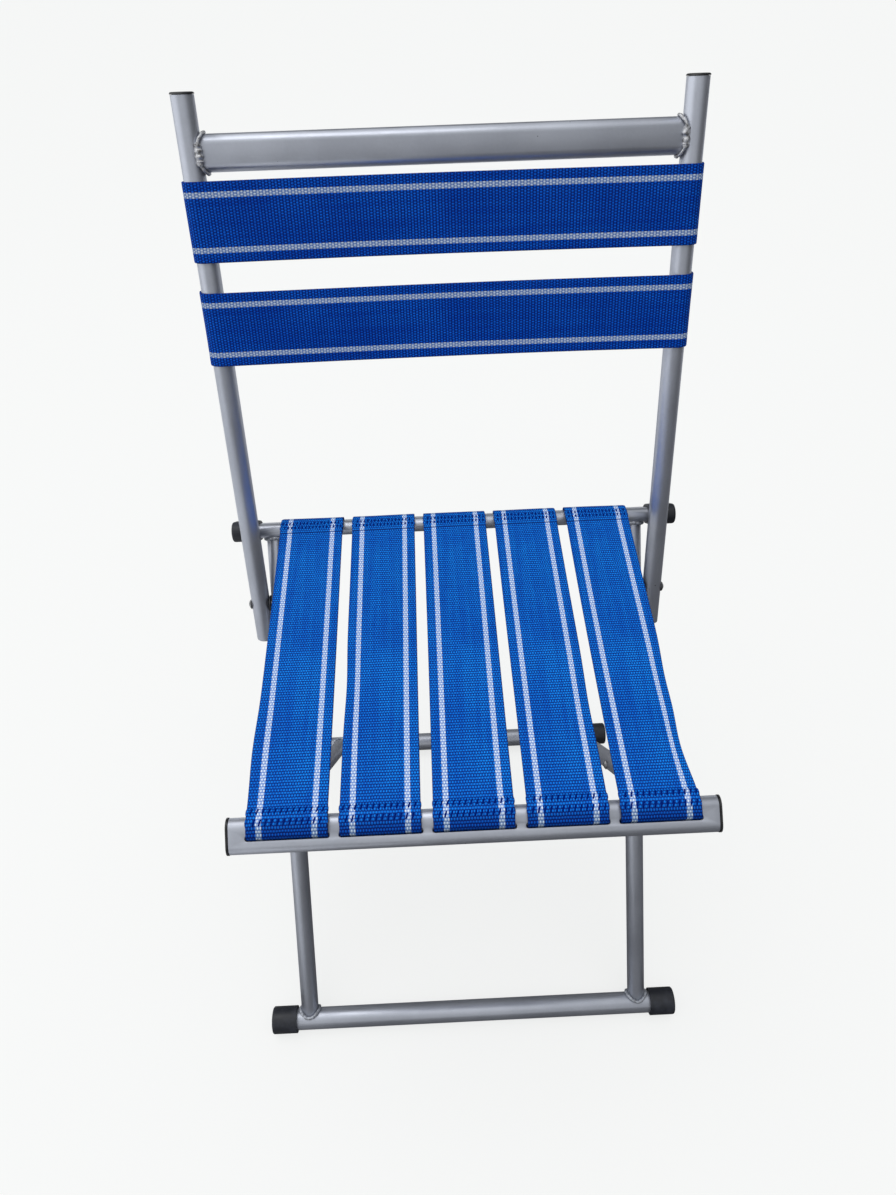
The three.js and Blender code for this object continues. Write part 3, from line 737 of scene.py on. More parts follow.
def cloth_outline():
    edge = WEB_THICKNESS / 2
    flat = WEB_WIDTH / 2 - edge
    inner = np.linspace(-flat, flat, COLUMNS + 1)
    turn = np.linspace(math.pi / 2, -math.pi / 2, 5)[1:-1]
    outline = [(u, edge) for u in inner]
    outline += [(flat + edge * math.cos(a), edge * math.sin(a)) for a in turn]
    outline += [(u, -edge) for u in inner[::-1]]
    outline += [(-flat - edge * math.cos(a), -edge * math.sin(a)) for a in turn]
    return np.array(outline)


print("the cloth's outline has", len(cloth_outline()), "points")

# %% Cloth and its map
def lay_map(ribbon, piece, places):
    layer = piece.data.uv_layers.new(name="weave")
    corners = np.zeros(len(piece.data.loops), int)
    piece.data.loops.foreach_get("vertex_index", corners)
    u = places[corners % len(places)]
    v = ribbon.s[corners // len(places)] - ribbon.middle_at
    layer.data.foreach_set("uv", np.column_stack((u, v)).ravel())


def woven_cloth(ribbon):
    outline = cloth_outline()
    u, over = outline[None, :, 0], outline[None, :, 1]
    points = cloth_point(ribbon, ribbon.s[:, None], u, over).reshape(-1, 3)
    faces = swept_faces(len(ribbon.s), len(outline), False)
    piece = mesh_object(ribbon.name, points, faces, ribbon.look)
    lay_map(ribbon, piece, outline[:, 0])
    return piece


print("each corner of the cloth is mapped by its place along and across")

# %% [markdown]
# ## Thread
# Each stitch is a short tube of thread. It lies on the cloth in its middle and dives into the needle
# holes at its ends. All the stitches of one length of webbing are one mesh, since they are sewn in
# one go and move together.

# %% A length of thread
THREAD_RADIUS = 0.85 * MM
THREAD_SIDES = 6


def thread_tube(line):
    way = np.gradient(line, axis=0)
    way /= np.linalg.norm(way, axis=1)[:, None]
    one = np.cross(way, np.array((0.3, 0.5, 0.81)))
    one /= np.linalg.norm(one, axis=1)[:, None]
    two = np.cross(way, one)
    angles = np.linspace(0, 2 * math.pi, THREAD_SIDES, endpoint=False)[None, :, None]
    out = THREAD_RADIUS * (np.cos(angles) * one[:, None, :] + np.sin(angles) * two[:, None, :])
    return (line[:, None, :] + out).reshape(-1, 3)


print(f"thread {2 * THREAD_RADIUS / MM:.1f} mm thick, with {THREAD_SIDES} sides")

# %% Stitches
THREAD_STEPS = 6
THREAD_RIDE = WEB_THICKNESS / 2 - 0.05 * MM
THREAD_DIVE = 0.9 * MM
UNSEWN_EDGE = 2.2 * MM


def one_stitch(ribbon, row, beat):
    off = np.linspace(-0.5, 0.5, THREAD_STEPS + 1) * row["length"]
    u = (beat - row["phase"]) * row["pitch"] + row["slant"] * off
    dive = (np.abs(off) / (0.5 * row["length"])) ** 4 * THREAD_DIVE
    return thread_tube(cloth_point(ribbon, row["s"] + off, u, THREAD_RIDE - dive))


def stitching(ribbon):
    points, faces = [], []
    reach = 0.5 * WEB_WIDTH - UNSEWN_EDGE
    for row in ribbon.rows:
        first = math.ceil((-reach) / row["pitch"] + row["phase"])
        last = math.floor(reach / row["pitch"] + row["phase"])
        for beat in range(first, last + 1):
            base = len(points)
            points.extend(one_stitch(ribbon, row, beat))
            for face in swept_faces(THREAD_STEPS + 1, THREAD_SIDES, False):
                faces.append(tuple(base + i for i in face))
    return mesh_object(ribbon.name + "_stitches", points, faces, sewing_thread)


print("a stitch has", (THREAD_STEPS + 1) * THREAD_SIDES, "points")

# %% [markdown]
# ## A sewn loop round a rod
# Each end of a strap goes over the edge of a slot into the tube, round a steel rod, and out through
# the same slot on top of itself. The rod is what keeps it from being pulled out. Seen edge on, this
# path is three arcs: in over the slot's edge, almost all the way round the rod, and back over the
# edge, one thickness further out.

# %% Sewn loop
WEB_GAP = 0.4 * MM
SOLID_GAP = 0.3 * MM
ROD_RADIUS = 2 * MM


def arc(centre, radius, start, end, steps):
    angles = np.linspace(start, end, steps + 1)
    return np.asarray(centre) + radius * np.column_stack((np.cos(angles), np.sin(angles)))


def sewn_loop(corner, start, slot, rod):
    """start is the angle at which the cloth comes to the slot's edge, and slot the way the slot opens."""
    end = slot + math.pi / 2
    loop = ROD_RADIUS + SOLID_GAP + WEB_THICKNESS / 2
    mouth = math.asin(WEB_THICKNESS / 2 / loop)
    return np.concatenate((
        arc(corner, WEB_GAP + WEB_THICKNESS / 2, start, end, 5),
        arc(rod, loop, slot - mouth, slot - 2 * math.pi + mouth, 20),
        arc(corner, WEB_GAP + 1.5 * WEB_THICKNESS, end, start, 8),
    ))


sample_loop = sewn_loop((0.0, 0.0), 0.0, 0.0, (-4 * MM, -4 * MM))
print("a sewn loop is drawn with", len(sample_loop), "points")

# %% [markdown]
# ## Lengths and fine steps
# A real strap is cut to a length, so the length of a drawn line has to be known. And a dent needs
# points enough under it, so wherever the cloth is sewn, long pieces of the line are split.

# %% Lengths and fine steps
FINE_STEP = 0.8 * MM


def length_of(line):
    return float(np.linalg.norm(np.diff(line, axis=0), axis=1).sum())


def refined(line):
    parts = [line[:1]]
    for first, second in zip(line[:-1], line[1:]):
        count = max(1, math.ceil(np.linalg.norm(second - first) / FINE_STEP))
        shares = np.arange(1, count + 1)[:, None] / count
        parts.append(first + (second - first) * shares)
    return np.concatenate(parts)


print(f"a sewn loop takes up {length_of(sample_loop) / MM:.0f} mm of webbing")

# %% [markdown]
# ## Half a seat strap
# A strap starts as a hem under its own front end, goes round the front rail's flat-oval tube into the
# slot, round the rod, back out and over the seat. The rear end is the same. So only the front half is
# drawn, from the hem to the middle of the seat, and the rear half is its mirror image with a longer
# hem. Between the rails the strap sags a little, as a parabola. The line meets the rail's end at the
# same slope, so that there is no kink.

# %% Front rail
OVAL_ROUND = 7 * MM
OVAL_WALL = 1.2 * MM
SLOT_EDGE = 1.2 * MM
SEAT_HALF = FOLD.y - FRONT_RAIL.y
ROD_ASIDE = SLOT_EDGE - WEB_GAP - WEB_THICKNESS
ROD_UP = OVAL_ROUND - OVAL_WALL - SOLID_GAP - (ROD_RADIUS + SOLID_GAP + WEB_THICKNESS)


def rail_point(across, up):
    """A point of the leaning front rail, seen from its end: how far along and off its flat side."""
    turn = np.array(((math.cos(OPENING), -math.sin(OPENING)), (math.sin(OPENING), math.cos(OPENING))))
    return turn @ np.array((across, up)) + np.array((-SEAT_HALF, FRONT_RAIL.z))


print(f"the rails are {2 * SEAT_HALF / MM:.0f} mm apart, from middle to middle")

# %% Half a strap
SEAT_SAG = 2.5 * MM
SEWN_REACH = 20 * MM
COARSE_STEP = 6 * MM


def strap_half(hem, sag):
    """The front half of a strap's middle line, and how far along it the strap leaves the rail."""
    end = rail_point(OVAL_HALF_FLAT, 0)
    face = math.pi / 2 + OPENING
    leave = math.pi / 2 - math.atan(2 * sag / SEAT_HALF)
    under = OVAL_ROUND + WEB_GAP + WEB_THICKNESS / 2
    over = under + WEB_THICKNESS
    start = end + over * np.array((math.cos(leave), math.sin(leave)))

    def top(y):
        return start[1] - sag * (1 - (y / start[0]) ** 2)

    hem_y = np.linspace(start[0] + hem, start[0], 5)[:-1]
    wrapped = np.concatenate((
        np.column_stack((hem_y, top(hem_y) - WEB_THICKNESS)),
        arc(end, under, leave, face, 5),
        sewn_loop(rail_point(SLOT_EDGE, OVAL_ROUND), face, face, rail_point(ROD_ASIDE, ROD_UP)),
        arc(end, over, face, leave, 9),
    ))
    near = start[0] + np.arange(FINE_STEP, SEWN_REACH, FINE_STEP)
    far = np.linspace(start[0] + SEWN_REACH, 0, round((SEAT_HALF - SEWN_REACH) / COARSE_STEP))
    span_y = np.concatenate((near, far))
    span = np.column_stack((span_y, top(span_y)))
    return np.concatenate((refined(wrapped), span)), length_of(wrapped)


rear_half = strap_half(REAR_HEM, SEAT_SAG)[0]
print(f"half a strap with the rear hem is {length_of(rear_half) / MM:.0f} mm long")

# %% [markdown]
# ## One seat strap
# The five straps are cut alike but sewn one at a time, so their stitches start at different places,
# and each sags by its own amount. Two rows of stitches hold each end. The front stitches are longer
# and slant more than the rear ones. Some straps are drawn in at an edge, or bulge a little there.

# %% Stitch rows of a strap
FRONT_PITCH = 4.35 * MM
FRONT_SLANT = 0.28
REAR_PITCH = 3.3 * MM
REAR_STITCH = 4.0 * MM
REAR_SLANT = 0.05


def strap_rows(index, front_leave, rear_leave):
    """Each row has its place along the strap, spacing, stitch length, slant and start."""
    return [
        stitch_row(front_leave - 2.4 * MM, FRONT_PITCH, 5.4 * MM, FRONT_SLANT, 0.3 + 0.13 * index),
        stitch_row(front_leave + 6.0 * MM, FRONT_PITCH, 5.0 * MM, FRONT_SLANT, 0.8 + 0.17 * index),
        stitch_row(rear_leave - 8.2 * MM, REAR_PITCH, REAR_STITCH, REAR_SLANT, 0.5 + 0.11 * index),
        stitch_row(rear_leave - 2.4 * MM, REAR_PITCH, REAR_STITCH, REAR_SLANT, 0.1 + 0.19 * index),
    ]


front_count, rear_count = WEB_WIDTH / FRONT_PITCH, WEB_WIDTH / REAR_PITCH
print(f"room for {front_count:.0f} stitches in a front row and {rear_count:.0f} in a rear row")

# %% A strap
FRONT_HEM = 9 * MM
# Strap: how far from the front its edge is drawn in, at which side (1 is right), and how deep.
PINCHES = {
    1: [(60 * MM, -1, -1.6 * MM)],
    2: [(120 * MM, -1, 1.2 * MM)],
    4: [(90 * MM, 1, 1.0 * MM)],
    5: [(48 * MM, 1, 4.6 * MM), (110 * MM, 1, 2.6 * MM)],
}


def seat_strap(index):
    name = f"seat_strap_{index}"
    sag = SEAT_SAG * (0.8 + 0.4 * math.sin(2.3 * index) ** 2)
    front, front_leave = strap_half(FRONT_HEM, sag)
    rear, rear_leave = strap_half(REAR_HEM, sag)
    line = np.concatenate((front, (rear[::-1] * np.array((-1, 1)))[1:]))
    rear_leave = length_of(line) - rear_leave
    rows = strap_rows(index, front_leave, rear_leave)
    folds = [(front_leave, front_leave + FRONT_HEM), (rear_leave, rear_leave - REAR_HEM)]
    pinches = [(front_leave + place, side, depth) for place, side, depth in PINCHES.get(index, [])]
    plane = (Vector((middle(name).x, FOLD.y, 0)), Vector((0, 1, 0)), Vector((0, 0, 1)))
    right = Vector((1, 0, 0))
    middle_at = length_of(front)
    return Ribbon(name, line, plane, right, seat_webbing, middle_at, rows, folds, pinches, float(index))


print(f"strap 3 is {seat_strap(3).s[-1] / MM:.0f} mm long when it lies flat")

# %% [markdown]
# ## Five seat straps
# A strap's rear end belongs to the outer frame and its front end to the inner one, and the two rails
# come together as the chair folds. Here the straps are made for the opened chair only: cloth and
# stitches are built in place, their placing is baked into their points, and the imported strap is
# hidden.

# %% Five straps
def finish_seat_strap(index):
    ribbon = seat_strap(index)
    cloth = woven_cloth(ribbon)
    stitches = stitching(ribbon)
    for piece in (cloth, stitches):
        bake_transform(piece)
    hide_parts(ribbon.name)


for index in range(1, 6):
    finish_seat_strap(index)

# %% [markdown]
# ## Half a back band
# The two bands of the back are the same webbing, sewn round the posts. A band is drawn as it is seen
# along the posts. From the middle of the back it bows a little, goes round the outside of the round
# post into the slot behind it, round the rod, and back out to a hem on the outside. Left and right
# are mirror images, so again one half is enough.

# %% Half a band
LEG_RADIUS = 9 * MM
SLOT_HALF = 2 * MM
BAND_BOW = 4 * MM
BAND_HEM_ANGLE = math.radians(15)
BAND_OVER = LEG_RADIUS + WEB_GAP + 1.5 * WEB_THICKNESS
POST_X = middle("backrest_post_right").x


def band_half():
    """The right half of a band's middle line, from the middle of the back to its hem."""
    post = np.array((POST_X, 0.0))
    edge = np.array((SLOT_HALF, math.sqrt(LEG_RADIUS ** 2 - SLOT_HALF ** 2)))
    rod_x = edge[0] - WEB_GAP - WEB_THICKNESS
    rod_reach = LEG_RADIUS - OVAL_WALL - SOLID_GAP - (ROD_RADIUS + SOLID_GAP + WEB_THICKNESS)
    rod = np.array((rod_x, math.sqrt(rod_reach ** 2 - rod_x ** 2)))
    edge_turn = math.atan2(edge[1], edge[0])
    leave = -math.pi / 2 - math.atan(2 * BAND_BOW / POST_X)
    under = BAND_OVER - WEB_THICKNESS
    start = post + under * np.array((math.cos(leave), math.sin(leave)))
    x = np.linspace(0, start[0], 34)[:-1]
    front = np.column_stack((x, start[1] + BAND_BOW * (1 - (x / start[0]) ** 2)))
    wrapped = np.concatenate((
        arc(post, under, leave, edge_turn, 34),
        sewn_loop(post + edge, edge_turn, math.pi / 2, post + rod),
        arc(post, BAND_OVER, edge_turn, BAND_HEM_ANGLE, 18),
    ))
    return np.concatenate((front, refined(wrapped)))


print(f"half a band is {length_of(band_half()) / MM:.0f} mm long")

# %% [markdown]
# ## Back bands
# Two rows of stitches hold each hem to the layer under it. The bands don't stretch or fold with the
# chair: both posts belong to the back, so cloth and stitches simply ride on it.

# %% A band
BAND_STITCH_ANGLES = (math.radians(30), math.radians(60))
BAND_PITCH = 3.6 * MM
BAND_STITCH = 3.0 * MM


def back_band(name, index):
    half = band_half()
    line = np.concatenate((half[::-1] * np.array((-1, 1)), half[1:]))
    rows = []
    for angle in BAND_STITCH_ANGLES:
        in_from_hem = BAND_OVER * (angle - BAND_HEM_ANGLE)
        for s in (in_from_hem, length_of(line) - in_from_hem):
            rows.append(stitch_row(s, BAND_PITCH, BAND_STITCH, REAR_SLANT, 0.3 + index + angle))
    up = BACKREST.to_3x3() @ Vector((0, 0, 1))
    back = BACKREST.to_3x3() @ Vector((0, 1, 0))
    height = (middle(name) - BACK).dot(up)
    plane = (BACK + up * height, Vector((1, 0, 0)), back)
    return Ribbon(name, line, plane, up, back_webbing, length_of(line) / 2, rows, [], [], 6.0 + index)


rows_apart = BAND_OVER * (BAND_STITCH_ANGLES[1] - BAND_STITCH_ANGLES[0])
print(f"the rows of stitches of a band are {rows_apart / MM:.1f} mm apart")

# %% Two bands
def finish_back_band(name, index):
    ribbon = back_band(name, index)
    cloth = woven_cloth(ribbon)
    stitches = stitching(ribbon)
    for piece in (cloth, stitches):
        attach(piece, "backrest")
    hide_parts(name)
    print(f"{name}: {ribbon.s[-1] / MM:.1f} mm long, {len(cloth.data.polygons)} faces of cloth")


finish_back_band("lower_back_band", 0)
finish_back_band("upper_back_band", 1)

# %% [markdown]
# ## The corners that the welds fill
# A weld bead lies in the corner between two tubes, so its path is the curve where their surfaces
# meet. It could be found with a boolean, but a formula gives even steps and both surfaces' normals,
# which say how far out the bead has to sit. Going once round the leg, `t` is the angle. The floor bar
# is round, and a seat rail is a flat oval: flat in the middle, and round past its flat.

# %% Corners at the legs
FLOOR_BAR_RADIUS = 11 * MM


def leg_on_floor_bar(t):
    """A point of the corner, and there the leg's normal and the bar's, with the leg upright on the bar."""
    of_leg = np.array((math.cos(t), math.sin(t), 0.0))
    y = LEG_RADIUS * of_leg[1]
    z = math.sqrt(FLOOR_BAR_RADIUS ** 2 - y ** 2)
    return np.array((LEG_RADIUS * of_leg[0], y, z)), of_leg, np.array((0, y, z)) / FLOOR_BAR_RADIUS


def leg_under_rail(t):
    of_leg = np.array((math.cos(t), math.sin(t), 0.0))
    y = LEG_RADIUS * of_leg[1]
    past = math.copysign(max(abs(y) - OVAL_HALF_FLAT, 0.0), y)
    z = -math.sqrt(OVAL_ROUND ** 2 - past ** 2)
    return np.array((LEG_RADIUS * of_leg[0], y, z)), of_leg, np.array((0, past, z)) / OVAL_ROUND


lowest = leg_on_floor_bar(math.pi / 2)[0][2]
print(f"round the floor bar the corner dips {(FLOOR_BAR_RADIUS - lowest) / MM:.1f} mm")

# %% [markdown]
# ## The corner at the crossbar
# The flat-oval crossbar ends on a round post. Here the path goes round the oval: over one flat, round
# an edge, back over the other flat and round the other edge. The bead is moved away from the post,
# because metal fills the wide gap between the bar's flat and the round of the post.

# %% Corner at the crossbar
FILLET_SHIFT = 1.8 * MM
FLAT = 2 * OVAL_HALF_FLAT
BEND = math.pi * OVAL_ROUND


def crossbar_on_post(t):
    along = t / math.pi * (FLAT + BEND)
    if along < FLAT:
        turn, z = 0.0, along - OVAL_HALF_FLAT
    elif along < FLAT + BEND:
        turn, z = (along - FLAT) / OVAL_ROUND, OVAL_HALF_FLAT
    elif along < 2 * FLAT + BEND:
        turn, z = math.pi, OVAL_HALF_FLAT - (along - FLAT - BEND)
    else:
        turn, z = (along - 2 * FLAT) / OVAL_ROUND, -OVAL_HALF_FLAT
    y = OVAL_ROUND * math.cos(turn)
    z += OVAL_ROUND * math.sin(turn)
    x = math.sqrt(LEG_RADIUS ** 2 - y ** 2)
    of_bar = np.array((0.0, math.cos(turn), math.sin(turn)))
    return np.array((-x - FILLET_SHIFT, y, z)), of_bar, np.array((-x / LEG_RADIUS, y / LEG_RADIUS, 0.0))


print(f"the crossbar's weld is {2 * (FLAT + BEND) / MM:.0f} mm long")

# %% [markdown]
# ## How thick a bead is
# Round the legs a bead has one thickness. At the crossbar it is wide over the two flats, where the two
# surfaces meet at a shallow angle, and thin round the two edges, where the corner is square.

# %% Swell of the beads
LEG_SWELL = 0.82
FLAT_SWELL = 1.55
EDGE_SWELL = 0.6


def leg_swell(t):
    return LEG_SWELL


def crossbar_swell(t):
    share = (t / math.pi * (FLAT + BEND)) % (FLAT + BEND)
    past_flat = abs(share - FLAT / 2) - FLAT / 2
    return FLAT_SWELL if past_flat < 0 else max(EDGE_SWELL, FLAT_SWELL - past_flat / (2.5 * MM))


print(f"a bead's swell on the crossbar goes from {crossbar_swell(0.3):.2f} to {crossbar_swell(2.4):.2f}")

# %% [markdown]
# ## A bead
# Ten beads could be sculpted by hand, but they would never quite follow the tubes. Here a bead is a
# closed tube along its corner. Each pass of the torch leaves a ripple, so its size beats round the
# path, and noise pushes its skin in and out, so that no two beads look alike. The seed moves each
# bead to another part of the same noise, which stays the same in every run.

# %% Path of a bead
BEAD_RADIUS = 2.0 * MM
BEAD_STEPS = 120


def off_corner(size):
    """How far off its corner a bead sits, in radii. A fat bead sits deeper than a thin one."""
    return min(0.62, 1.9 - 1.28 * size)


def bead_path(corner_at, swell):
    """The middle of the bead, off the corner along the line halfway between the two surfaces."""
    centres = []
    for i in range(BEAD_STEPS):
        t = 2 * math.pi * i / BEAD_STEPS
        point, first_normal, second_normal = corner_at(t)
        away = (first_normal + second_normal) / (1 + first_normal @ second_normal)
        centres.append(point + away * BEAD_RADIUS * off_corner(swell(t)))
    return np.array(centres)


thin_path = bead_path(leg_on_floor_bar, leg_swell)
print(f"a bead round a leg is {2 * np.abs(thin_path[:, 0]).max() / MM:.1f} mm across, from middle to middle")

# %% Ways across the path
def ways_round(centres):
    """Two directions across the path at each step: out from its middle, and at right angles to that."""
    along = np.roll(centres, -1, axis=0) - np.roll(centres, 1, axis=0)
    along /= np.linalg.norm(along, axis=1)[:, None]
    side = centres - centres.mean(axis=0)
    side -= np.sum(side * along, axis=1)[:, None] * along
    side /= np.linalg.norm(side, axis=1)[:, None]
    return side, np.cross(along, side)


print("each of the", len(ways_round(thin_path)[0]), "steps has two ways across it")

# %% Skin of a bead
BEAD_SIDES = 12
BEAD_RIPPLES = 16
BEAD_PULSE = 0.08
LUMP_SIZE = 2.6 * MM
LUMP_DEPTH = 0.26


def bead_points(corner_at, swell, seed):
    centres = bead_path(corner_at, swell)
    side, other = ways_round(centres)
    points = []
    for i in range(BEAD_STEPS):
        size = BEAD_RADIUS * swell(2 * math.pi * i / BEAD_STEPS)
        size *= 1 + BEAD_PULSE * math.cos(2 * math.pi * BEAD_RIPPLES * i / BEAD_STEPS)
        for j in range(BEAD_SIDES):
            angle = 2 * math.pi * j / BEAD_SIDES
            out = math.cos(angle) * side[i] + math.sin(angle) * other[i]
            place = Vector(centres[i] + out * BEAD_RADIUS) / LUMP_SIZE
            lump = 1 + LUMP_DEPTH * noise.noise(place + Vector((seed, 0, 0)))
            points.append(centres[i] + out * size * lump)
    return points


print("a bead has", BEAD_STEPS * BEAD_SIDES, "points")

# %% [markdown]
# ## Ten welds
# Each leg is welded to its floor bar and to its seat rail, and the crossbar to both posts. A bead is
# drawn upright at the origin and carried into place by the matrix of its frame. A left bead at the
# crossbar is a mirror image, and a mirror turns a mesh inside out, so its faces are flipped back.

# %% One weld
def weld_bead(name, corner_at, swell, look, placed, body, seed):
    faces = swept_faces(BEAD_STEPS, BEAD_SIDES, True)
    piece = mesh_object(name + "_bead", bead_points(corner_at, swell, seed), faces, look)
    piece.data.transform(placed)
    if placed.determinant() < 0:
        piece.data.flip_normals()
    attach(piece, body)
    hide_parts(name)


LEG_UPPER = (REAR_RAIL - FOLD).length
LEG_LOWER = (middle("front_floor_bar") - FOLD).length
BAR_UP = (CROSSBAR - BACK).length
print(f"the crossbar is {BAR_UP / MM:.0f} mm up the posts from their rivets")

# %% Welds of a leg and of the crossbar
def weld_leg(leg, hand, sign, placed, body):
    leg_x = middle(leg + "_right").x
    for joint, corner_at, up, seed in (
        ("floor", leg_on_floor_bar, -LEG_LOWER, leg_x * 400 + sign),
        ("rail", leg_under_rail, LEG_UPPER, leg_x * 700 + sign),
    ):
        there = placed @ Matrix.Translation((sign * leg_x, 0, up))
        weld_bead(f"{leg}_{joint}_weld_{hand}", corner_at, leg_swell, painted_weld, there, body, seed)


def weld_crossbar(hand, sign):
    mirror = Matrix.Scale(sign, 4, Vector((1, 0, 0)))
    there = BACKREST @ Matrix.Translation((sign * POST_X, 0, BAR_UP)) @ mirror
    name = f"crossbar_weld_{hand}"
    weld_bead(name, crossbar_on_post, crossbar_swell, bare_weld, there, "backrest", 9.0 + sign)


for sign, hand in ((-1, "left"), (1, "right")):
    weld_leg("outer_leg", hand, sign, OUTER_FRAME, "outer_frame")
    weld_leg("inner_leg", hand, sign, INNER_FRAME, "inner_frame")
    weld_crossbar(hand, sign)

# %% [markdown]
# ## Floor
# The chair stands in a studio on white, with almost no shadow. A bright floor would light the chair
# from below, and turn it pale. So the floor answers rays by their kind. The camera sees it white, and
# would see it white through a clear piece too. Metal mirrors it brightly to the left and behind, as in
# a studio with one window, and darker elsewhere, which gives the tubes their stripes of light and
# dark. For all other light it is a plain grey.

# %% Floor
def seen_by(s):
    """Two values, each 1 or 0: whether a ray is the camera's, and whether a shiny surface sent it."""
    rays = s.node("ShaderNodeLightPath")
    shown = s.math("MAXIMUM", rays.outputs["Is Camera Ray"], rays.outputs["Is Transmission Ray"])
    return shown, rays.outputs["Is Glossy Ray"]


def pale_floor():
    s = Finish("pale_floor")
    shown, mirrored = seen_by(s)
    split = s.node("ShaderNodeSeparateXYZ", Vector=s.place())
    lit_side = s.ramp(split.outputs["X"], -0.6, -0.1, 1.0, 0.0)
    far_side = s.ramp(split.outputs["Y"], 0.05, 1.0, 0.0, 0.75)
    in_metal = s.mix(s.math("MAXIMUM", lit_side, far_side), colour(88, 88, 91), colour(235, 236, 238))
    unseen = s.mix(mirrored, colour(112, 112, 114), in_metal)
    plain = s.node("ShaderNodeBsdfDiffuse", Color=s.mix(shown, unseen, colour(240, 240, 240)))
    glow = s.node("ShaderNodeEmission", Color=colour(250, 251, 250), Strength=1.0)
    glowing = s.math("MAXIMUM", s.math("MULTIPLY", shown, 0.8), s.math("MULTIPLY", mirrored, 0.05))
    return s.made_of(s.either(glowing, plain, glow))


FLOOR_HALF = 12.0
corners = [(x * FLOOR_HALF, y * FLOOR_HALF, 0) for x, y in ((-1, -1), (1, -1), (1, 1), (-1, 1))]
floor = mesh_object("floor", corners, [(0, 1, 2, 3)], pale_floor())
floor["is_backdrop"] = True
print(f"floor {2 * FLOOR_HALF:.0f} m wide")

# %% [markdown]
# ## Light from the room
# The room is bright overhead and to the left, dimmer in front, and dark behind and to the right. Many
# lamps could light it like that, but each would show in the tubes as a shape with hard edges. In the
# world, brightness is a formula of the way a ray goes, so it changes softly from wall to wall. The
# tubes mirror the sides at full strength, while cloth and rubber take their light mostly from
# overhead. The camera sees plain white.

# %% Room
def studio_room():
    world = bpy.data.worlds.new("studio")
    world.use_nodes = True
    s = Pattern(world.node_tree)
    way = s.node("ShaderNodeSeparateXYZ", Vector=s.node("ShaderNodeTexCoord").outputs["Generated"])
    shown, mirrored = seen_by(s)
    above = s.ramp(way.outputs["Z"], 0.5, 1.0, 0.0, 0.9)
    left = s.ramp(way.outputs["X"], -0.95, -0.4, 1.25, 0.0)
    over_floor = s.ramp(way.outputs["Z"], 0.12, 0.3)
    below_lamp = s.ramp(way.outputs["Z"], 0.45, 0.7, 1.0, 0.5)
    facing = s.ramp(way.outputs["Y"], -0.9, -0.3, 0.55, 0.0)
    front = s.math("MULTIPLY", facing, s.math("MULTIPLY", over_floor, below_lamp))
    above = s.math("MULTIPLY", above, s.ramp(mirrored, 0.0, 1.0, 1.9, 1.0))
    sides = s.math("MULTIPLY", s.math("ADD", front, left), s.ramp(mirrored, 0.0, 1.0, 0.35, 1.0))
    level = s.math("ADD", s.math("ADD", above, sides), 0.10)
    light = s.node("ShaderNodeBackground", Color=(0.97, 0.985, 1.0, 1.0), Strength=level)
    pale = s.node("ShaderNodeBackground", Color=(0.96, 0.965, 0.96, 1.0), Strength=1.0)
    out = s.node("ShaderNodeOutputWorld")
    s.tree.links.new(s.either(shown, light, pale).outputs[0], out.inputs["Surface"])
    return world


scene.world = studio_room()
print("the room:", len(scene.world.node_tree.nodes), "nodes")

# %% [markdown]
# ## One soft lamp
# A large lamp above and to the left draws the long highlights on the tubes and shapes the cloth. It
# is large because a small one would draw thin bright lines, and throw a hard shadow.

# %% Lamp
LAMP_PLACE = Vector((-0.6, 0.25, 2.3))
LAMP_WATTS = 9.0
lamp_data = bpy.data.lights.new("overhead", "AREA")
lamp_data.shape = "RECTANGLE"
lamp_data.size, lamp_data.size_y = 1.1, 1.7
lamp_data.energy = LAMP_WATTS
lamp = bpy.data.objects.new("overhead", lamp_data)
lamp.location = LAMP_PLACE
seat_middle = Vector((0.0, FOLD.y, FRONT_RAIL.z))
lamp.rotation_euler = (seat_middle - LAMP_PLACE).to_track_quat("-Z", "Y").to_euler()
scene.collection.objects.link(lamp)
print(f"one lamp, {(seat_middle - LAMP_PLACE).length:.1f} m from the seat")

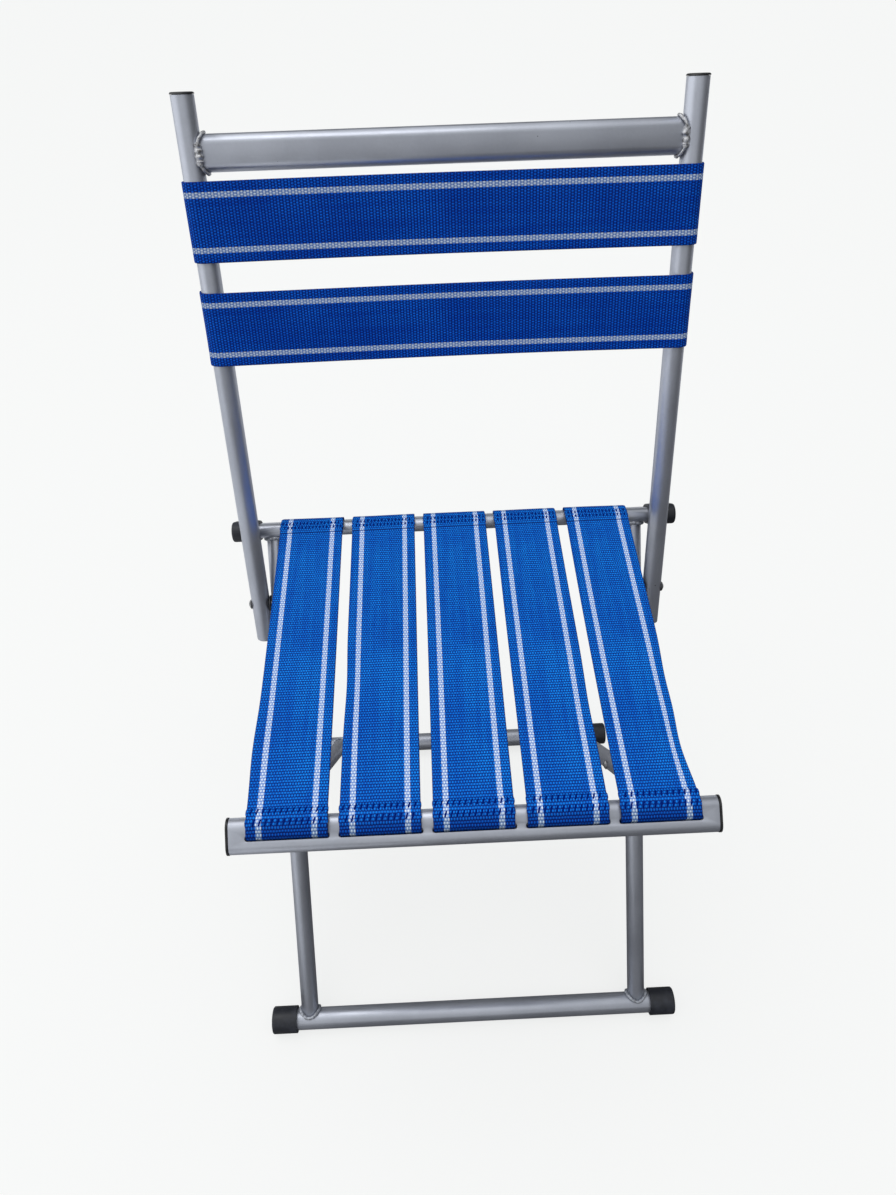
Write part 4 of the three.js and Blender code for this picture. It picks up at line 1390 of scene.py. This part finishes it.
# %% [markdown]
# ## Camera
# The camera's place could be set by eye. It was fitted to the photograph together with the chair's
# proportions instead, so that the picture and the photograph can be laid over each other: where it
# stands, how far it turns and looks down, how it is tilted, and its focal length, counted in pixels
# of a frame 1195 pixels high. The lens in millimetres follows from the height of the sensor.

# %% The camera's turn
YAW, PITCH, ROLL = math.radians(1.164), math.radians(48.352), math.radians(1.664)


def looking(yaw, pitch, roll):
    """The camera's turn: its x axis points right, its y axis up, and its z axis back."""
    ahead = Vector((math.sin(yaw) * math.cos(pitch), math.cos(yaw) * math.cos(pitch), -math.sin(pitch)))
    level = Vector((math.cos(yaw), -math.sin(yaw), 0.0))
    below = ahead.cross(level)
    right = math.cos(roll) * level + math.sin(roll) * below
    up = math.sin(roll) * level - math.cos(roll) * below
    return Matrix((right, up, -ahead)).transposed().to_4x4()


camera_turn = looking(YAW, PITCH, ROLL)
print(f"the camera looks {math.degrees(PITCH):.1f} degrees down")

# %% Camera
FRAME_HEIGHT_PX = 1195
FOCAL_PX = 883.6
SENSOR_HEIGHT_MM = 36.0
CAMERA_PLACE = Vector((-0.02095, -0.51380, 1.02353))
camera_data = bpy.data.cameras.new("camera")
camera_data.sensor_fit = "VERTICAL"
camera_data.sensor_height = SENSOR_HEIGHT_MM
camera_data.lens = FOCAL_PX / FRAME_HEIGHT_PX * SENSOR_HEIGHT_MM
camera_data.clip_start = 0.05
camera = bpy.data.objects.new("camera", camera_data)
camera.matrix_world = Matrix.Translation(CAMERA_PLACE) @ camera_turn
scene.collection.objects.link(camera)
scene.camera = camera
scene.view_settings.view_transform = "Standard"
print(f"lens of {camera_data.lens:.1f} mm, {CAMERA_PLACE.z:.2f} m above the floor")

# %% [markdown]
# ## The box of the dressed chair
# The dressed chair has to fill the same box as the imported model, or it would no longer fit where the
# part is used. Both boxes are worked out, and the largest difference between them is printed.

boxes = {"cad": [list(corner) for corner in cad_box], "visual": [list(corner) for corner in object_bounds()]}
pairs = zip(boxes["cad"], boxes["visual"])
apart = max(abs(packed - dressed) for corners in pairs for packed, dressed in zip(*corners))
print(f"the packed and the dressed box differ by {apart / MM:.4f} mm")
